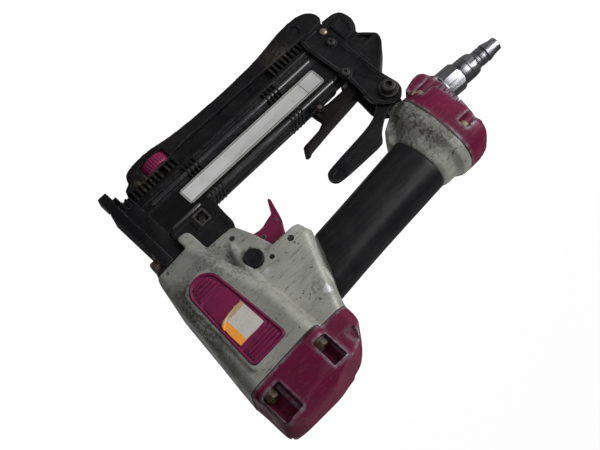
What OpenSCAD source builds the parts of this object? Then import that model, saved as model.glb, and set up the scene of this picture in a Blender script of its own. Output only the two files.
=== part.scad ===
// Pneumatic brad nailer. Millimetres, +Z up, +X forward. The origin is where the driver
// leaves the nose. The tool stands on its contact foot and on the guard under the magazine.

/* [Cylinder and driver] */
// Bore of the cylinder liner
bore_d = 32; // [31:0.25:32.5]
// Wall of the cylinder liner
liner_wall = 1.5; // [1.2:0.1:1.7]
// Height of the lower end of the liner above the nose tip
liner_z = 98; // [97.5:0.25:98.5]
// Height of the piston
piston_h = 9; // [8:0.25:9.5]
// Length of the driver blade below the piston
blade_len = 99.5; // [98.5:0.25:99.75]
// Thickness of the driver blade
blade_t = 1.3; // [1:0.1:1.4]
// Width of the driver blade
blade_w = 3.2; // [2.4:0.1:3.3]
// Height of the rubber bumper
bumper_h = 7.7; // [7:0.1:7.8]
// Height of the head valve ring
head_valve_h = 9.5; // [8:0.5:11]

/* [Housing] */
// Height of the seam between housing and cap
seam_z = 171; // [170:0.5:174]
// Distance from the driver axis to the front face at the seam
housing_front = 28; // [27:0.5:30]
// Half width of the housing beside the driver axis at the seam
housing_half = 25; // [24.5:0.25:27]
// Distance from the driver axis back to the wide shoulder of the housing
housing_back = 31; // [29:0.5:33]
// Distance from the driver axis back to the rear end of the cap
cap_back = 53.5; // [50:0.5:56]
// Half width of the narrow rear part
neck_half = 18; // [17:0.25:19]
// Half width of the trigger frame
frame_half = 12.5; // [12:0.25:13.5]
// Height of the cap above the seam
cap_h = 34.3; // [33:0.1:37]
// Thickness of the gasket under the cap
gasket_t = 0.8; // [0.5:0.1:1.2]

/* [Cap bolts] */
// Thread diameter of the cap bolts
cap_bolt_d = 5; // [4:0.5:5]
// Width across flats of the cap bolt heads
cap_bolt_af = 8; // [7:0.5:8]
// Thickness of the cap flange that the bolts clamp
cap_flange_t = 6.7; // [6:0.1:9]
// Distance of the front bolts ahead of the driver axis
front_bolt_x = 19.5; // [19.5:0.25:20]
// Distance of the front bolts beside the driver axis
front_bolt_y = 14.5; // [14.5:0.25:15]
// Distance of the rear bolts behind the driver axis
rear_bolt_x = 23; // [22:0.25:24]
// Distance of the rear bolts beside the driver axis
rear_bolt_y = 21; // [20:0.25:21.5]

/* [Side pads] */
// Width of a side pad at its top
pad_top_w = 28.5; // [24:0.5:30]
// Width of a side pad at its bottom
pad_low_w = 19; // [16:0.5:22]
// Height of a side pad
pad_h = 68; // [60:1:70]
// Thickness of a side pad
pad_t = 2.6; // [2.2:0.1:3]

/* [Handle] */
// Slope of the handle in degrees
handle_tilt = 4.5; // [3:0.25:6]
// Width of the grip sleeve
grip_w = 36; // [34:0.5:38]
// Height of the grip sleeve
grip_h = 40; // [38:0.5:42]
// Thickness of the grip sleeve
grip_wall = 2.4; // [2:0.1:3]
// Wall of the handle tube
tube_wall = 3; // [2.5:0.1:4]
// Distance of the handle flange face behind the driver axis
flange_x = 180.4; // [176:0.5:184]
// Width of the handle flange
flange_w = 49; // [46:0.5:51]
// Height of the handle flange
flange_h = 63; // [60:0.5:65]
// Length of the end cap
end_cap_len = 21; // [19:0.5:23]

/* [Air fitting] */
// Nose diameter of the air plug
plug_d = 12; // [11:0.5:13]
// Length of the straight part of the air plug nose
plug_len = 9; // [8:0.5:10]
// Diameter of the swivel body
swivel_d = 17; // [15:0.5:18]
// Width across flats of the swivel nut
swivel_af = 19; // [17:0.5:20]

/* [Trigger] */
// Width of the trigger over its cheeks
trigger_w = 15.6; // [14.5:0.1:16]
// Thickness of the trigger cheeks
trigger_t = 2.4; // [2:0.1:2.6]
// Diameter of the trigger pin
trigger_pin_d = 3; // [2.5:0.1:3.2]
// Diameter of the side dial
dial_d = 13.3; // [12:0.1:14]
// Travel of the contact arm
contact_travel = 3.5; // [3:0.25:3.5]

/* [Magazine] */
// Width of the magazine
mag_w = 16; // [15:0.25:16.5]
// Height of the bottom of the magazine above the nose tip
mag_z = 21.5; // [21:0.25:22]
// Height of the magazine
mag_h = 32.5; // [31.5:0.25:33]
// Wall of the magazine
mag_wall = 1.8; // [1.5:0.1:2]
// Distance of the front end of the magazine behind the driver axis
mag_front = 12; // [11.5:0.25:12.5]
// Distance of the rear end of the magazine behind the driver axis
mag_back = 185; // [183:0.5:186]
// Wall of the sliding drawer
drawer_wall = 1.2; // [1:0.1:1.4]
// Length of the label plate
label_len = 122; // [110:1:124]
// Height of the label plate
label_h = 12.5; // [10:0.5:13]
// Thickness of the label plate
label_t = 0.6; // [0.4:0.1:0.8]
// Diameter of the depth dial
wheel_d = 23; // [22:0.25:24]
// Thickness of the depth dial
wheel_t = 8.4; // [7.5:0.1:8.6]
// Half width of the guard
guard_half = 9; // [8.5:0.25:10]

/* [Bracket and lever] */
// Thickness of the bracket cheeks
cheek_t = 2.5; // [2:0.1:3]
// Thickness of the hook
hook_t = 3; // [2.5:0.1:3.2]
// Width of the release lever
lever_w = 13; // [11:0.25:14]
// Thickness of the release lever sheet
lever_t = 1.6; // [1.2:0.1:2]

/* [Clearances] */
// Clearance between faces that slide
slide_gap = 0.2; // [0.15:0.05:0.3]
// Clearance of pins and screws in their holes
pin_gap = 0.05; // [0.03:0.01:0.1]
// Clearance between moving bodies
body_gap = 0.3; // [0.3:0.05:0.4]

/* [Hidden] */
$fn = 48;
hull_fn = 32;
side_taper = 0.13;
cut = 1;

// Heights and radii inside the cylinder
liner_r = bore_d / 2 + liner_wall;
bore_fit = liner_r + pin_gap;
liner_top = seam_z - 6;
piston_top = liner_top - 3;
piston_z = piston_top - piston_h;
bumper_z = liner_z - 6;
head_z = liner_top + body_gap;
head_top = head_z + head_valve_h;
cap_z = seam_z + gasket_t;
cap_top = seam_z + cap_h;
cap_room_z = seam_z + 19;
pocket_z = cap_z + cap_flange_t;
cap_washer_t = 1;
bolt_head_h = 4;
corner_r = 9;

// Handle and flange frames
handle_x = -70.7;
handle_z = 141.1;
sleeve_back = 88;
tube_w = grip_w - 2 * grip_wall - 2 * pin_gap;
tube_h = grip_h - 2 * grip_wall - 2 * pin_gap;
shoulder_lean = 23.8;
flange_z = 127.6;
flange_tilt = 2;
end_gasket_t = 1;
fitting_x = -209;
fitting_z = 107.3;
fitting_tilt = 3.5;
thread_d = 13;
air_hole_d = 6;

// Trigger group
pivot_x = -52;
pivot_z = 99.7;
stem_x = -60.8;
bush_d = 8;
stem_d = 2.4;
frame_roof = 110.3;
arm_pin_x = -66.2;
arm_pin_z = 96.5;
arm_pin_d = 1.8;
dial_x = -35;
dial_z = 110;

// Magazine group
mag_half = mag_w / 2;
mag_top = mag_z + mag_h;
room_half = mag_half - mag_wall;
room_z = mag_z + 2.5;
room_top = mag_top - 2.5;
drawer_half = room_half - body_gap;
drawer_z = room_z + body_gap;
drawer_top = room_top - body_gap;
drawer_front = -mag_front - 1.5;
nose_half = 7.5;
nose_front = 5;
nose_top = 70;
channel_half = blade_w / 2 + 0.15;
channel_t = blade_t / 2 + 0.15;
wheel_x = -40;
wheel_z = 5.5;
stud_d = 5;
clamp_x = -181.4;
clamp_z = 85.4;
clamp_d = 6;
cheek_in = 8;
cheek_out = cheek_in + cheek_t;
lug_half = 4.8;
lever_x = -142;
lever_z = 60.4;
lever_pin_d = 3;

module rod_x(d, x0, x1) {
  translate([x0, 0, 0]) rotate([0, 90, 0]) cylinder(d = d, h = x1 - x0);
}

module rod_y(d, y0, y1) {
  translate([0, y1, 0]) rotate([90, 0, 0]) cylinder(d = d, h = y1 - y0);
}

module rod_z(d, z0, z1) {
  translate([0, 0, z0]) cylinder(d = d, h = z1 - z0);
}

module hex_z(af, z0, z1) {
  translate([0, 0, z0]) cylinder(d = af / cos(30), h = z1 - z0, $fn = 6);
}

module box(x0, x1, y0, y1, z0, z1) {
  translate([x0, y0, z0]) cube([x1 - x0, y1 - y0, z1 - z0]);
}

// A flat outline drawn in X and Z, extruded between two Y values
module side_plate(y0, y1) {
  translate([0, y1, 0]) rotate([90, 0, 0]) linear_extrude(y1 - y0) children();
}

module both_sides() {
  children();
  mirror([0, 1, 0]) children();
}

module stadium_x(w, h, x0, x1) {
  r = w / 2;
  for (s = [-1, 1]) {
    translate([0, 0, s * (h / 2 - r)]) rod_x(w, x0, x1);
  }
  box(x0, x1, -r, r, r - h / 2, h / 2 - r);
}

module handle_frame() {
  translate([handle_x, 0, handle_z]) rotate([0, -handle_tilt, 0]) children();
}

module flange_frame() {
  translate([-flange_x, 0, flange_z]) rotate([0, -flange_tilt, 0]) children();
}

module fitting_frame() {
  translate([fitting_x, 0, fitting_z]) rotate([0, fitting_tilt - 90, 0]) children();
}

// A coil of round wire about Z, with its ends buried in the last turns
module coil(r, wire, height, turns) {
  steps = 14;
  sides = 6;
  total = steps * turns;
  points = [for (i = [0 : total], j = [0 : sides - 1])
    let (a = 360 * i / steps, b = 360 * j / sides, q = r + wire / 2 * cos(b))
    [q * cos(a), q * sin(a), wire / 2 + (height - wire) * i / total + wire / 2 * sin(b)]];
  walls = [for (i = [0 : total - 1], j = [0 : sides - 1])
    [i * sides + j, i * sides + (j + 1) % sides,
     (i + 1) * sides + (j + 1) % sides, (i + 1) * sides + j]];
  first = [for (j = [0 : sides - 1]) sides - 1 - j];
  last = [for (j = [0 : sides - 1]) total * sides + j];
  polyhedron(points, concat([first], walls, [last]));
}

// Four corner discs of the plan of the wide housing at one height
module housing_discs(z, t, half, front, back, r) {
  for (s = [-1, 1]) {
    translate([front - r, s * (half - side_taper * front - r), z])
      cylinder(r = r, h = t, $fn = hull_fn);
    translate([r - back, s * (half + side_taper * back - r), z])
      cylinder(r = r, h = t, $fn = hull_fn);
  }
}

module housing_block() {
  low_front = housing_front - 8.5;
  hull() {
    housing_discs(seam_z - 0.5, 0.5, housing_half, housing_front, housing_back, corner_r);
    housing_discs(seam_z - 33, 0.5, housing_half - 0.7, low_front + 4.6, housing_back - 1, corner_r);
    housing_discs(98, 0.5, housing_half - 1.5, low_front, 22, corner_r);
  }
  hull() {
    housing_discs(98, 0.5, housing_half - 1.5, low_front, 22, corner_r);
    housing_discs(84, 0.5, housing_half - 9, low_front - 2.7, 20, 7);
  }
  hull() {
    housing_discs(84, 0.5, housing_half - 9, low_front - 2.7, 20, 7);
    housing_discs(nose_top, 0.5, 10, low_front - 5.5, 14, 4);
  }
}

module neck_discs(z, back) {
  for (s = [-1, 1]) {
    translate([corner_r - back, s * (neck_half - corner_r), z])
      cylinder(r = corner_r, h = 0.5, $fn = hull_fn);
    translate([-24, s * (neck_half - corner_r), z])
      cylinder(r = corner_r, h = 0.5, $fn = hull_fn);
  }
}

module shoulder_block() {
  hull() {
    neck_discs(seam_z - 0.5, cap_back);
    neck_discs(seam_z - 9, cap_back + 3.5);
    neck_discs(120, cap_back + 22);
    neck_discs(111, cap_back + 19.5);
  }
}

module trigger_frame() {
  side_plate(-frame_half, frame_half) polygon([
    [-64, 118], [-61, 111.2], [-52, 111], [-48, 94], [-43.6, 83.2], [-40, 81],
    [-21, 80], [-10, 79.5], [-8, 100], [-20, 118]]);
  translate([dial_x, 0, dial_z]) rod_y(dial_d + 3, -neck_half, 0);
}

module support_lugs() {
  both_sides() side_plate(9.2, 12.4) polygon([
    [-21, 84], [-21, 65], [-19.5, 62.5], [-17, 61.5], [-12, 61.5], [-12, 84]]);
}

module trigger_ears() {
  difference() {
    both_sides() {
      translate([pivot_x, 0, pivot_z]) rod_y(6, 3.6, 5);
      box(-54.5, -49.5, 3.6, 5, pivot_z, frame_roof + 2);
    }
    translate([pivot_x, 0, pivot_z]) rod_y(trigger_pin_d + 2 * pin_gap, -9, 9);
  }
}

module flange_block() {
  difference() {
    hull() {
      flange_frame() for (s = [-1, 1]) {
        translate([0, 0, s * (flange_h - flange_w) / 2]) rotate([0, 90, 0])
          cylinder(d = flange_w, h = 14, $fn = hull_fn);
      }
      handle_frame() for (s = [-1, 1]) {
        translate([-sleeve_back - 1, 0, s * (grip_h - grip_w) / 2]) rotate([0, 90, 0])
          cylinder(d = grip_w, h = 1, $fn = hull_fn);
      }
      translate([-156, 0, 109.5]) rotate([90, 0, 0])
        cylinder(r = 3, h = 18, center = true, $fn = hull_fn);
    }
    handle_frame() stadium_x(grip_w + 0.4, grip_h + 0.4, -sleeve_back, 0);
  }
}

module flange_lug() {
  difference() {
    union() {
      side_plate(-lug_half, lug_half) polygon([
        [-188, 88], [-188, 83], [-185, 79], [-179, 78], [-174, 83], [-171.5, 98],
        [-178.7, 98], [-179.2, 93], [-186, 91.5]]);
    }
    translate([clamp_x, 0, clamp_z]) rod_y(clamp_d + 2 * pin_gap, -9, 9);
  }
}

// Outline of a side pad, standing on the wall of the housing with Y square to the wall
module pad_frame() {
  translate([0, housing_half - 0.75, seam_z - 36.5])
    rotate([-1.2, 0, -atan(side_taper)]) children();
}

module pad_outline(grow) {
  w1 = pad_top_w / 2 + grow;
  w0 = pad_low_w / 2 + grow;
  h = pad_h / 2 + grow;
  polygon([
    [-w1 + 1, -h + 2 * h - 4], [-w1 + 4, h], [w1 - 4, h], [w1, h - 4],
    [w0 + 1.5, -h + 8], [w0 - 1.5, -h + 3.5], [w0 - 5.5, -h], [5.5 - w0, -h],
    [1.5 - w0, -h + 3.5], [-w0 - 1, -h + 9]]);
}

module pad_pocket() {
  pad_frame() translate([0.7, 0, -6]) side_plate(1.2 - pad_t, 6) pad_outline(body_gap);
}

module side_pad() {
  difference() {
    pad_frame() translate([0.7, 0, -6]) union() {
      difference() {
        side_plate(1.3 - pad_t, 1.2) pad_outline(0);
        side_plate(0.6, 2) pad_outline(-1.6);
      }
      for (i = [0 : 3]) {
        box(-9, 10, 0.3, 1.2, pad_h / 2 - 5 - 2.4 * i, pad_h / 2 - 4 - 2.4 * i);
        box(-6.5, 6.5, 0.3, 1.2, 5.5 - pad_h / 2 + 2.4 * i, 6.5 - pad_h / 2 + 2.4 * i);
      }
    }
  }
}

module bolt_places() {
  for (s = [-1, 1]) {
    translate([front_bolt_x, s * front_bolt_y, 0]) children();
    translate([-rear_bolt_x, s * rear_bolt_y, 0]) children();
  }
}

module end_screw_places() {
  for (s = [-1, 1]) {
    translate([0, s * 17.5, 15]) children();
    translate([0, s * 13.5, -22]) children();
  }
}

module body_casting() color("#b9b8b0") {
  difference() {
    union() {
      housing_block();
      shoulder_block();
      trigger_frame();
      support_lugs();
      flange_block();
      flange_lug();
      handle_frame() stadium_x(tube_w, tube_h, -100, 12);
    }
    rod_z(2 * bore_fit, liner_z, seam_z + cut);
    rod_z(30.2, bumper_z, liner_z + cut);
    rod_z(6, nose_top - cut, bumper_z + cut);
    box(-6.1, 10.1, -3.5, 3.5, nose_top - cut, 78.2);
    side_plate(-9.15, 9.15) polygon([
      [-60, 50], [-11.9, 50], [-11.9, 79.5], [-21, 80], [-40, 81], [-60, 92]]);
    box(-48, 0, -12, 12, 120, seam_z + cut);
    handle_frame() stadium_x(tube_w - 2 * tube_wall, tube_h - 2 * tube_wall, -115, 24);
    translate([stem_x, 0, 0]) rod_z(bush_d + 2 * pin_gap, 108, 132);
    box(-70, -44.5, -8.1, 8.1, 79, frame_roof);
    box(-48, -3.5, 3.7, 6.3, 69, 81 + contact_travel);
    box(-47.4, -42.6, 3.7, 6.3, 79, frame_roof);
    box(-47.4, -42.6, -2.8, 6.3, 100, frame_roof);
    translate([-30, 5, 0]) rod_z(5.4, 79, 92);
    bolt_places() rod_z(cap_bolt_d + 2 * pin_gap, seam_z - 16, seam_z + cut);
    both_sides() pad_pocket();
    both_sides() translate([stem_x, 0, 116.4]) rod_y(2.6, 6, 30);
    translate([-44, 0, 116.8]) rod_y(3.6, -30, -13);
    translate([-38, 0, 101.4]) rod_y(2.9 + 2 * pin_gap, -30, 30);
    translate([-36.5, 0, 87.5]) rod_y(3.5 + 2 * pin_gap, -30, 30);
    translate([dial_x, 0, dial_z]) rod_y(6 + 2 * pin_gap, -30, -13);
    translate([8, 0, 74]) rod_y(3 + 2 * pin_gap, -30, 30);
    flange_frame() end_screw_places() rod_x(4 + 2 * pin_gap, -cut, 11);
  }
  trigger_ears();
}

module cap_profile() {
  f = housing_front;
  polygon([
    [f, cap_z], [f - 0.6, cap_z + 2], [f - 1.4, seam_z + 10.6], [f - 1, cap_top - 8.3],
    [f - 4, cap_top - 3.8], [f - 8.5, cap_top - 2.3], [f - 13.5, cap_top - 0.8], [8, cap_top],
    [-4.5, cap_top], [-13.7, cap_top - 1.3], [-20, cap_top - 3.3], [-26, cap_top - 5.3],
    [-32, cap_top - 5.9], [-38, cap_top - 7.8], [9.9 - cap_back, cap_top - 11.8],
    [4.8 - cap_back, cap_top - 17.3], [1.5 - cap_back, seam_z + 12.7],
    [0.1 - cap_back, seam_z + 6], [-cap_back, cap_z]]);
}

module cap_plan(z0, z1) {
  hull() {
    housing_discs(z0, z1 - z0, housing_half, housing_front, housing_back, corner_r);
  }
  hull() {
    neck_discs(z0, cap_back);
    neck_discs(z1 - 0.5, cap_back);
  }
}

module cylinder_cap() color("#8e1f45") difference() {
  intersection() {
    cap_plan(cap_z, cap_top);
    side_plate(-40, 40) cap_profile();
    rotate([90, 0, 90]) translate([0, 0, -60]) linear_extrude(100) polygon([
      [-30, cap_z], [30, cap_z], [29, cap_top - 9], [24.5, cap_top - 3.5], [17, cap_top],
      [-17, cap_top], [-24.5, cap_top - 3.5], [-29, cap_top - 9]]);
  }
  rod_z(2 * bore_fit, cap_z - cut, cap_room_z);
  box(-46, -22, -12, 12, cap_z - cut, seam_z + 14);
  box(-30, -12, -4, 4, cap_z - cut, seam_z + 14);
  bolt_places() rod_z(cap_bolt_d + 2 * pin_gap, cap_z - cut, pocket_z + cut);
  bolt_places() rod_z(cap_bolt_af + 2.6, pocket_z, cap_top + cut);
  both_sides() {
    box(-rear_bolt_x - 6.5, 4.5 - rear_bolt_x, rear_bolt_y - 2, 40, pocket_z, cap_top + cut);
    box(front_bolt_x - 8, front_bolt_x + 5.5, front_bolt_y + 1, 40, pocket_z, cap_top + cut);
    side_plate(16.2, 30) polygon([
      [-39, seam_z + 14], [-46, seam_z + 14], [-41, seam_z + 27]]);
  }
}

module cap_gasket() color("#3a3a3a") difference() {
  cap_plan(seam_z, cap_z);
  rod_z(2 * bore_fit, seam_z - cut, cap_z + cut);
  box(-46, -22, -12, 12, seam_z - cut, cap_z + cut);
  box(-30, -12, -4, 4, seam_z - cut, cap_z + cut);
  bolt_places() rod_z(cap_bolt_d + 2 * pin_gap, seam_z - cut, cap_z + cut);
}

module cap_washers() color("#6d665c") bolt_places() difference() {
  rod_z(cap_bolt_af + 1.6, pocket_z, pocket_z + cap_washer_t);
  rod_z(cap_bolt_d + 2 * pin_gap, pocket_z - cut, pocket_z + 2 * cut);
}

module cap_bolts() color("#5d4f44") bolt_places() {
  rod_z(cap_bolt_d, seam_z - 14, pocket_z + cap_washer_t + 0.5);
  hex_z(cap_bolt_af, pocket_z + cap_washer_t, pocket_z + cap_washer_t + bolt_head_h);
}

module side_pad_left() color("#9b1f50") side_pad();

module side_pad_right() color("#9b1f50") mirror([0, 1, 0]) side_pad();

module cylinder_liner() color("#c8cbd0") difference() {
  rod_z(2 * liner_r, liner_z, liner_top);
  rod_z(bore_d, liner_z - cut, liner_top + cut);
}

module piston() color("#aab0b8") difference() {
  rod_z(bore_d - 2 * pin_gap, piston_z, piston_top);
  difference() {
    rod_z(bore_d + cut, piston_z + 3, piston_z + 6);
    rod_z(bore_d - 5, piston_z + 3 - cut, piston_z + 6 + cut);
  }
  rod_z(bore_d - 12, piston_top - 2, piston_top + cut);
  box(-blade_t / 2 - 0.05, blade_t / 2 + 0.05, -blade_w / 2 - 0.05, blade_w / 2 + 0.05,
    piston_z - cut, piston_z + 5);
}

module piston_ring() color("#1d1d1f") difference() {
  rod_z(bore_d - 2 * pin_gap, piston_z + 3.1, piston_z + 5.9);
  rod_z(bore_d - 4.9, piston_z + 2, piston_z + 7);
}

module driver_blade() color("#8f949b") {
  box(-blade_t / 2, blade_t / 2, -blade_w / 2, blade_w / 2, piston_z - blade_len, piston_z + 4.9);
}

module bumper() color("#2a2a2c") difference() {
  union() {
    rod_z(30, bumper_z, bumper_z + 5);
    rod_z(24, bumper_z + 5, bumper_z + bumper_h);
  }
  rod_z(8, bumper_z - cut, bumper_z + bumper_h + cut);
}

module head_valve() color("#26282b") difference() {
  rod_z(2 * liner_r, head_z, head_top);
  rod_z(bore_d - 8, head_z - cut, head_z + 3);
  rod_z(bore_d - 2, head_z + 3, head_top + cut);
}

module head_valve_spring() color("#9a9da2") {
  translate([0, 0, head_z + 3.2]) coil(12.6, 1.6, cap_room_z - head_z - 3.5, 4);
}

module trigger_side() {
  polygon([
    [-52.7, 94.2], [-56.6, 94.1], [-61.3, 92.7], [-65.9, 91.7], [-68, 90], [-69.5, 86.8],
    [-71.5, 83], [-72.5, 82.3], [-73.4, 84.1], [-71.6, 89.6], [-69.9, 95.1], [-68.2, 99.9],
    [-66, 103.3], [-63.1, 106.2], [-59.4, 108.3], [-53.6, 107.8], [-51.8, 106.2],
    [-50.2, 102.3], [-49.2, 97.3], [-48.6, 93.2]]);
}

module trigger() color("#a3194f") {
  both = trigger_w / 2;
  difference() {
    union() {
      both_sides() side_plate(both - trigger_t, both) trigger_side();
      side_plate(-both, both) polygon([
        [-52.7, 94.2], [-56.6, 94.1], [-61.3, 92.7], [-65.9, 91.7], [-68, 90],
        [-69.5, 86.8], [-71.5, 83], [-72.5, 82.3], [-73.4, 84.1], [-71.6, 89.6],
        [-70.4, 93.4], [-67.5, 93.9], [-62, 94.9], [-56.4, 96.1], [-52.7, 96.1]]);
    }
    translate([pivot_x, 0, pivot_z]) rod_y(trigger_pin_d + 2 * pin_gap, -9, 9);
    translate([arm_pin_x, 0, arm_pin_z]) rod_y(arm_pin_d + 2 * pin_gap, -9, 9);
    translate([arm_pin_x, 0, arm_pin_z]) rod_y(4.2, -2.8, 2.8);
  }
}

module trigger_pin() color("#8c8f93") {
  translate([pivot_x, 0, pivot_z]) rod_y(trigger_pin_d, -trigger_w / 2, trigger_w / 2);
}

module trigger_arm() color("#77797d") difference() {
  union() {
    translate([arm_pin_x, 0, arm_pin_z]) rod_y(3.6, -2.4, 2.4);
    side_plate(-2.4, 2.4) polygon([
      [-67.6, 97.6], [-65, 95.6], [-60, 101.4], [-58, 102.4], [-55.8, 102.4],
      [-55.8, 104.2], [-58.5, 104.3], [-61.5, 103.2]]);
  }
  translate([arm_pin_x, 0, arm_pin_z]) rod_y(arm_pin_d + 2 * pin_gap, -9, 9);
}

module trigger_arm_pin() color("#8c8f93") {
  translate([arm_pin_x, 0, arm_pin_z]) rod_y(arm_pin_d, -trigger_w / 2, trigger_w / 2);
}

module trigger_valve_bush() color("#b59a4e") difference() {
  translate([stem_x, 0, 0]) rod_z(bush_d, 109.6, 124);
  translate([stem_x, 0, 0]) rod_z(stem_d + 2 * pin_gap, 108, 125);
  translate([stem_x, 0, 0]) rod_z(5.6, 116, 121);
}

module trigger_valve_stem() color("#c9ccd1") translate([stem_x, 0, 0]) {
  rod_z(stem_d, 109, 126);
  rod_z(5, 116.4, 118);
}

module frame_pins() color("#84807a") {
  both_sides() translate([stem_x, 0, 116.4]) rod_y(2.5, 6, neck_half + 0.3);
  translate([-38, 0, 101.4]) rod_y(2.9, -frame_half - 0.3, frame_half + 0.3);
  translate([-36.5, 0, 87.5]) rod_y(3.5, -frame_half - 0.3, frame_half + 0.3);
}

module side_dial() color("#1b1b1d") translate([dial_x, 0, dial_z]) {
  difference() {
    rod_y(dial_d, -neck_half - 3.5, -neck_half - 0.3);
    box(-4.5, 4.5, -neck_half - 5, -neck_half - 2.6, -0.8, 0.8);
  }
  rod_y(6, -neck_half - 1, -14);
}

module grip_sleeve() color("#242426") difference() {
  handle_frame() stadium_x(grip_w, grip_h, 0.3 - sleeve_back, 30);
  handle_frame() stadium_x(grip_w - 2 * grip_wall, grip_h - 2 * grip_wall, -120, 60);
  translate([-cap_back - 4.2, 0, 162]) rotate([0, shoulder_lean, 0])
    translate([0, -40, -80]) cube([60, 80, 120]);
}

module end_gasket() color("#6f6f6c") flange_frame() difference() {
  stadium_x(flange_w, flange_h, -end_gasket_t, -0.02);
  stadium_x(tube_w - 2 * tube_wall, tube_h, -5, 5);
  end_screw_places() rod_x(4 + 2 * pin_gap, -5, 5);
}

module end_cap() color("#861c42") difference() {
  union() {
    flange_frame() hull() {
      for (s = [-1, 1]) {
        translate([-end_gasket_t - 8, 0, s * (flange_h - flange_w) / 2]) rotate([0, 90, 0])
          cylinder(d = flange_w - 0.6, h = 8, $fn = hull_fn);
        translate([-end_cap_len + 5, 0, s * 6 + 2]) rotate([0, 90, 0])
          cylinder(d = flange_w - 3, h = 1, $fn = hull_fn);
        translate([-end_cap_len, 0, s * 6 + 2]) rotate([0, 90, 0])
          cylinder(d = flange_w - 14, h = 1, $fn = hull_fn);
      }
    }
    fitting_frame() rod_z(24, -20, -0.3);
    side_plate(-15, 15) polygon([
      [-185, 94.5], [-199, 93.8], [-203, 96], [-203, 112], [-190, 112]]);
  }
  flange_frame() stadium_x(tube_w - 2 * tube_wall, tube_h, 3 - end_cap_len, 5);
  fitting_frame() rod_z(thread_d + 2 * pin_gap, -24, 5);
  flange_frame() end_screw_places() {
    rod_x(4 + 2 * pin_gap, -30, 5);
    rod_x(8, -40, -9);
  }
  flange_frame() both_sides() {
    box(-40, -9, 17.5, 40, 11, 19);
    box(-40, -9, 13.5, 40, -26, -18);
  }
}

module end_cap_screws() color("#5a5148") flange_frame() end_screw_places() {
  rod_x(4, -10, 9);
  difference() {
    rod_x(7, -13, -9);
    rotate([0, -90, 0]) hex_z(3, 11, 14);
  }
}

module swivel_washer() color("#9da1a6") fitting_frame() difference() {
  rod_z(21, -0.2, 0.8);
  rod_z(thread_d + 2 * pin_gap, -2, 2);
}

module swivel_nut() color("#c3c7cc") fitting_frame() difference() {
  union() {
    rod_z(thread_d, -12, 1);
    hex_z(swivel_af, 0.9, 13.2);
  }
  rod_z(air_hole_d, -13, 14);
  rod_z(9 + 2 * pin_gap, 4, 14);
}

module swivel_body() color("#d0d3d8") fitting_frame() difference() {
  union() {
    rod_z(9, 4.4, 14);
    rod_z(swivel_d, 13.5, 18.8);
    rod_z(swivel_d - 1, 18.5, 19.6);
    rod_z(swivel_d, 19.4, 26);
    translate([0, 0, 26]) cylinder(d1 = swivel_d, d2 = swivel_d - 2.4, h = 1.4);
  }
  rod_z(air_hole_d, 3, 30);
  rod_z(10 + 2 * pin_gap, 18, 30);
}

module air_plug() color("#d8dade") fitting_frame() difference() {
  union() {
    rod_z(10, 18.2, 29);
    rod_z(plug_d + 0.8, 27.5, 35.8);
    rod_z(plug_d - 2, 35.6, 37.4);
    rod_z(plug_d, 37.2, 37.2 + plug_len);
    translate([0, 0, 37.2 + plug_len]) cylinder(d1 = plug_d, d2 = plug_d - 2.2, h = 2.9);
  }
  rod_z(air_hole_d, 17, 60);
}

module nose_base() color("#262628") difference() {
  union() {
    box(-mag_front, -2, -nose_half, nose_half, 22, nose_top);
    box(-2.5, -channel_t, 0.1 - channel_half, channel_half - 0.1, 16, 68);
    box(-6, 10, -3.4, 3.4, nose_top - 2, 78);
    box(-6, 12.5, -nose_half, nose_half, 68.2, nose_top);
    box(-2.2, 1.8, -3, 3, 1.2, 20);
    box(-mag_front, -2.1, -nose_half, 3.4, 14.2, 22.4);
  }
  box(-channel_t, channel_t, -channel_half, channel_half, 0, 80);
  box(-mag_front - cut, 0, -0.8, 0.8, room_z, room_top);
  box(-8.3, -3.7, 3.8, 6.3, 20, nose_top + cut);
  translate([8, 0, 74]) rod_y(3 + 2 * pin_gap, -9, 9);
  for (i = [0 : 2]) {
    box(-11.5 + 3.4 * i, -9.8 + 3.4 * i, -9, 2 - nose_half, 13, 21.4);
  }
}

module nose_plate() color("#2a2a2c") difference() {
  union() {
    box(-2, nose_front, -nose_half, nose_half, 9.6, 68);
    for (y = [-5.2, 0, 5.2]) {
      box(nose_front - 0.2, nose_front + 0.5, y - 0.8, y + 0.8, 11, 54);
    }
  }
  box(-3, channel_t, -channel_half, channel_half, 9, 69);
  box(-4, 3.5, -4.9, 4.9, 9, 14.8);
  box(-4, 1.9, -3.1, 3.1, 14, 20.1);
  translate([0, 0, 62.5]) rod_x(5 + 2 * pin_gap, channel_t + 0.4, 6);
}

module nose_bolt() color("#6a5a4e") translate([0, 0, 62.5]) {
  rod_x(5, channel_t + 0.6, 6);
  rod_x(11, nose_front, nose_front + 0.6);
  translate([nose_front + 0.5, 0, 0]) rotate([0, 90, 0]) rotate([0, 0, 30]) hex_z(10, 0, 5);
}

module nose_pin() color("#84807a") translate([8, 0, 74]) rod_y(3, -8.6, 8.6);

module contact_arm() color("#3b3b3d") {
  difference() {
    box(-3.8, 3.2, -4.6, 4.6, 0, 9.5);
    box(-2.5, 2.1, -3.3, 3.3, -cut, 11);
  }
  box(-8, -3.7, 4, 6, 3, 9);
  box(-8, -4, 4, 6, 3, 79);
  box(-47, -4, 4, 6, 75, 79);
  box(-47, -43, 4, 6, 75, 104);
  box(-47, -43, -2.5, 6, 101.8, 104);
  box(-54.4, -43, -2.5, 3.3, 101.8, 104);
  box(-54.4, -53.8, -2.5, 3.3, 99.5, 104);
  box(-58, -53.8, -2.5, 3.3, 99.5, 102);
}

module contact_spring() color("#9a9da2") {
  translate([-30, 5, 79.1]) coil(1.9, 0.7, 12.8, 7);
}

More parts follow.
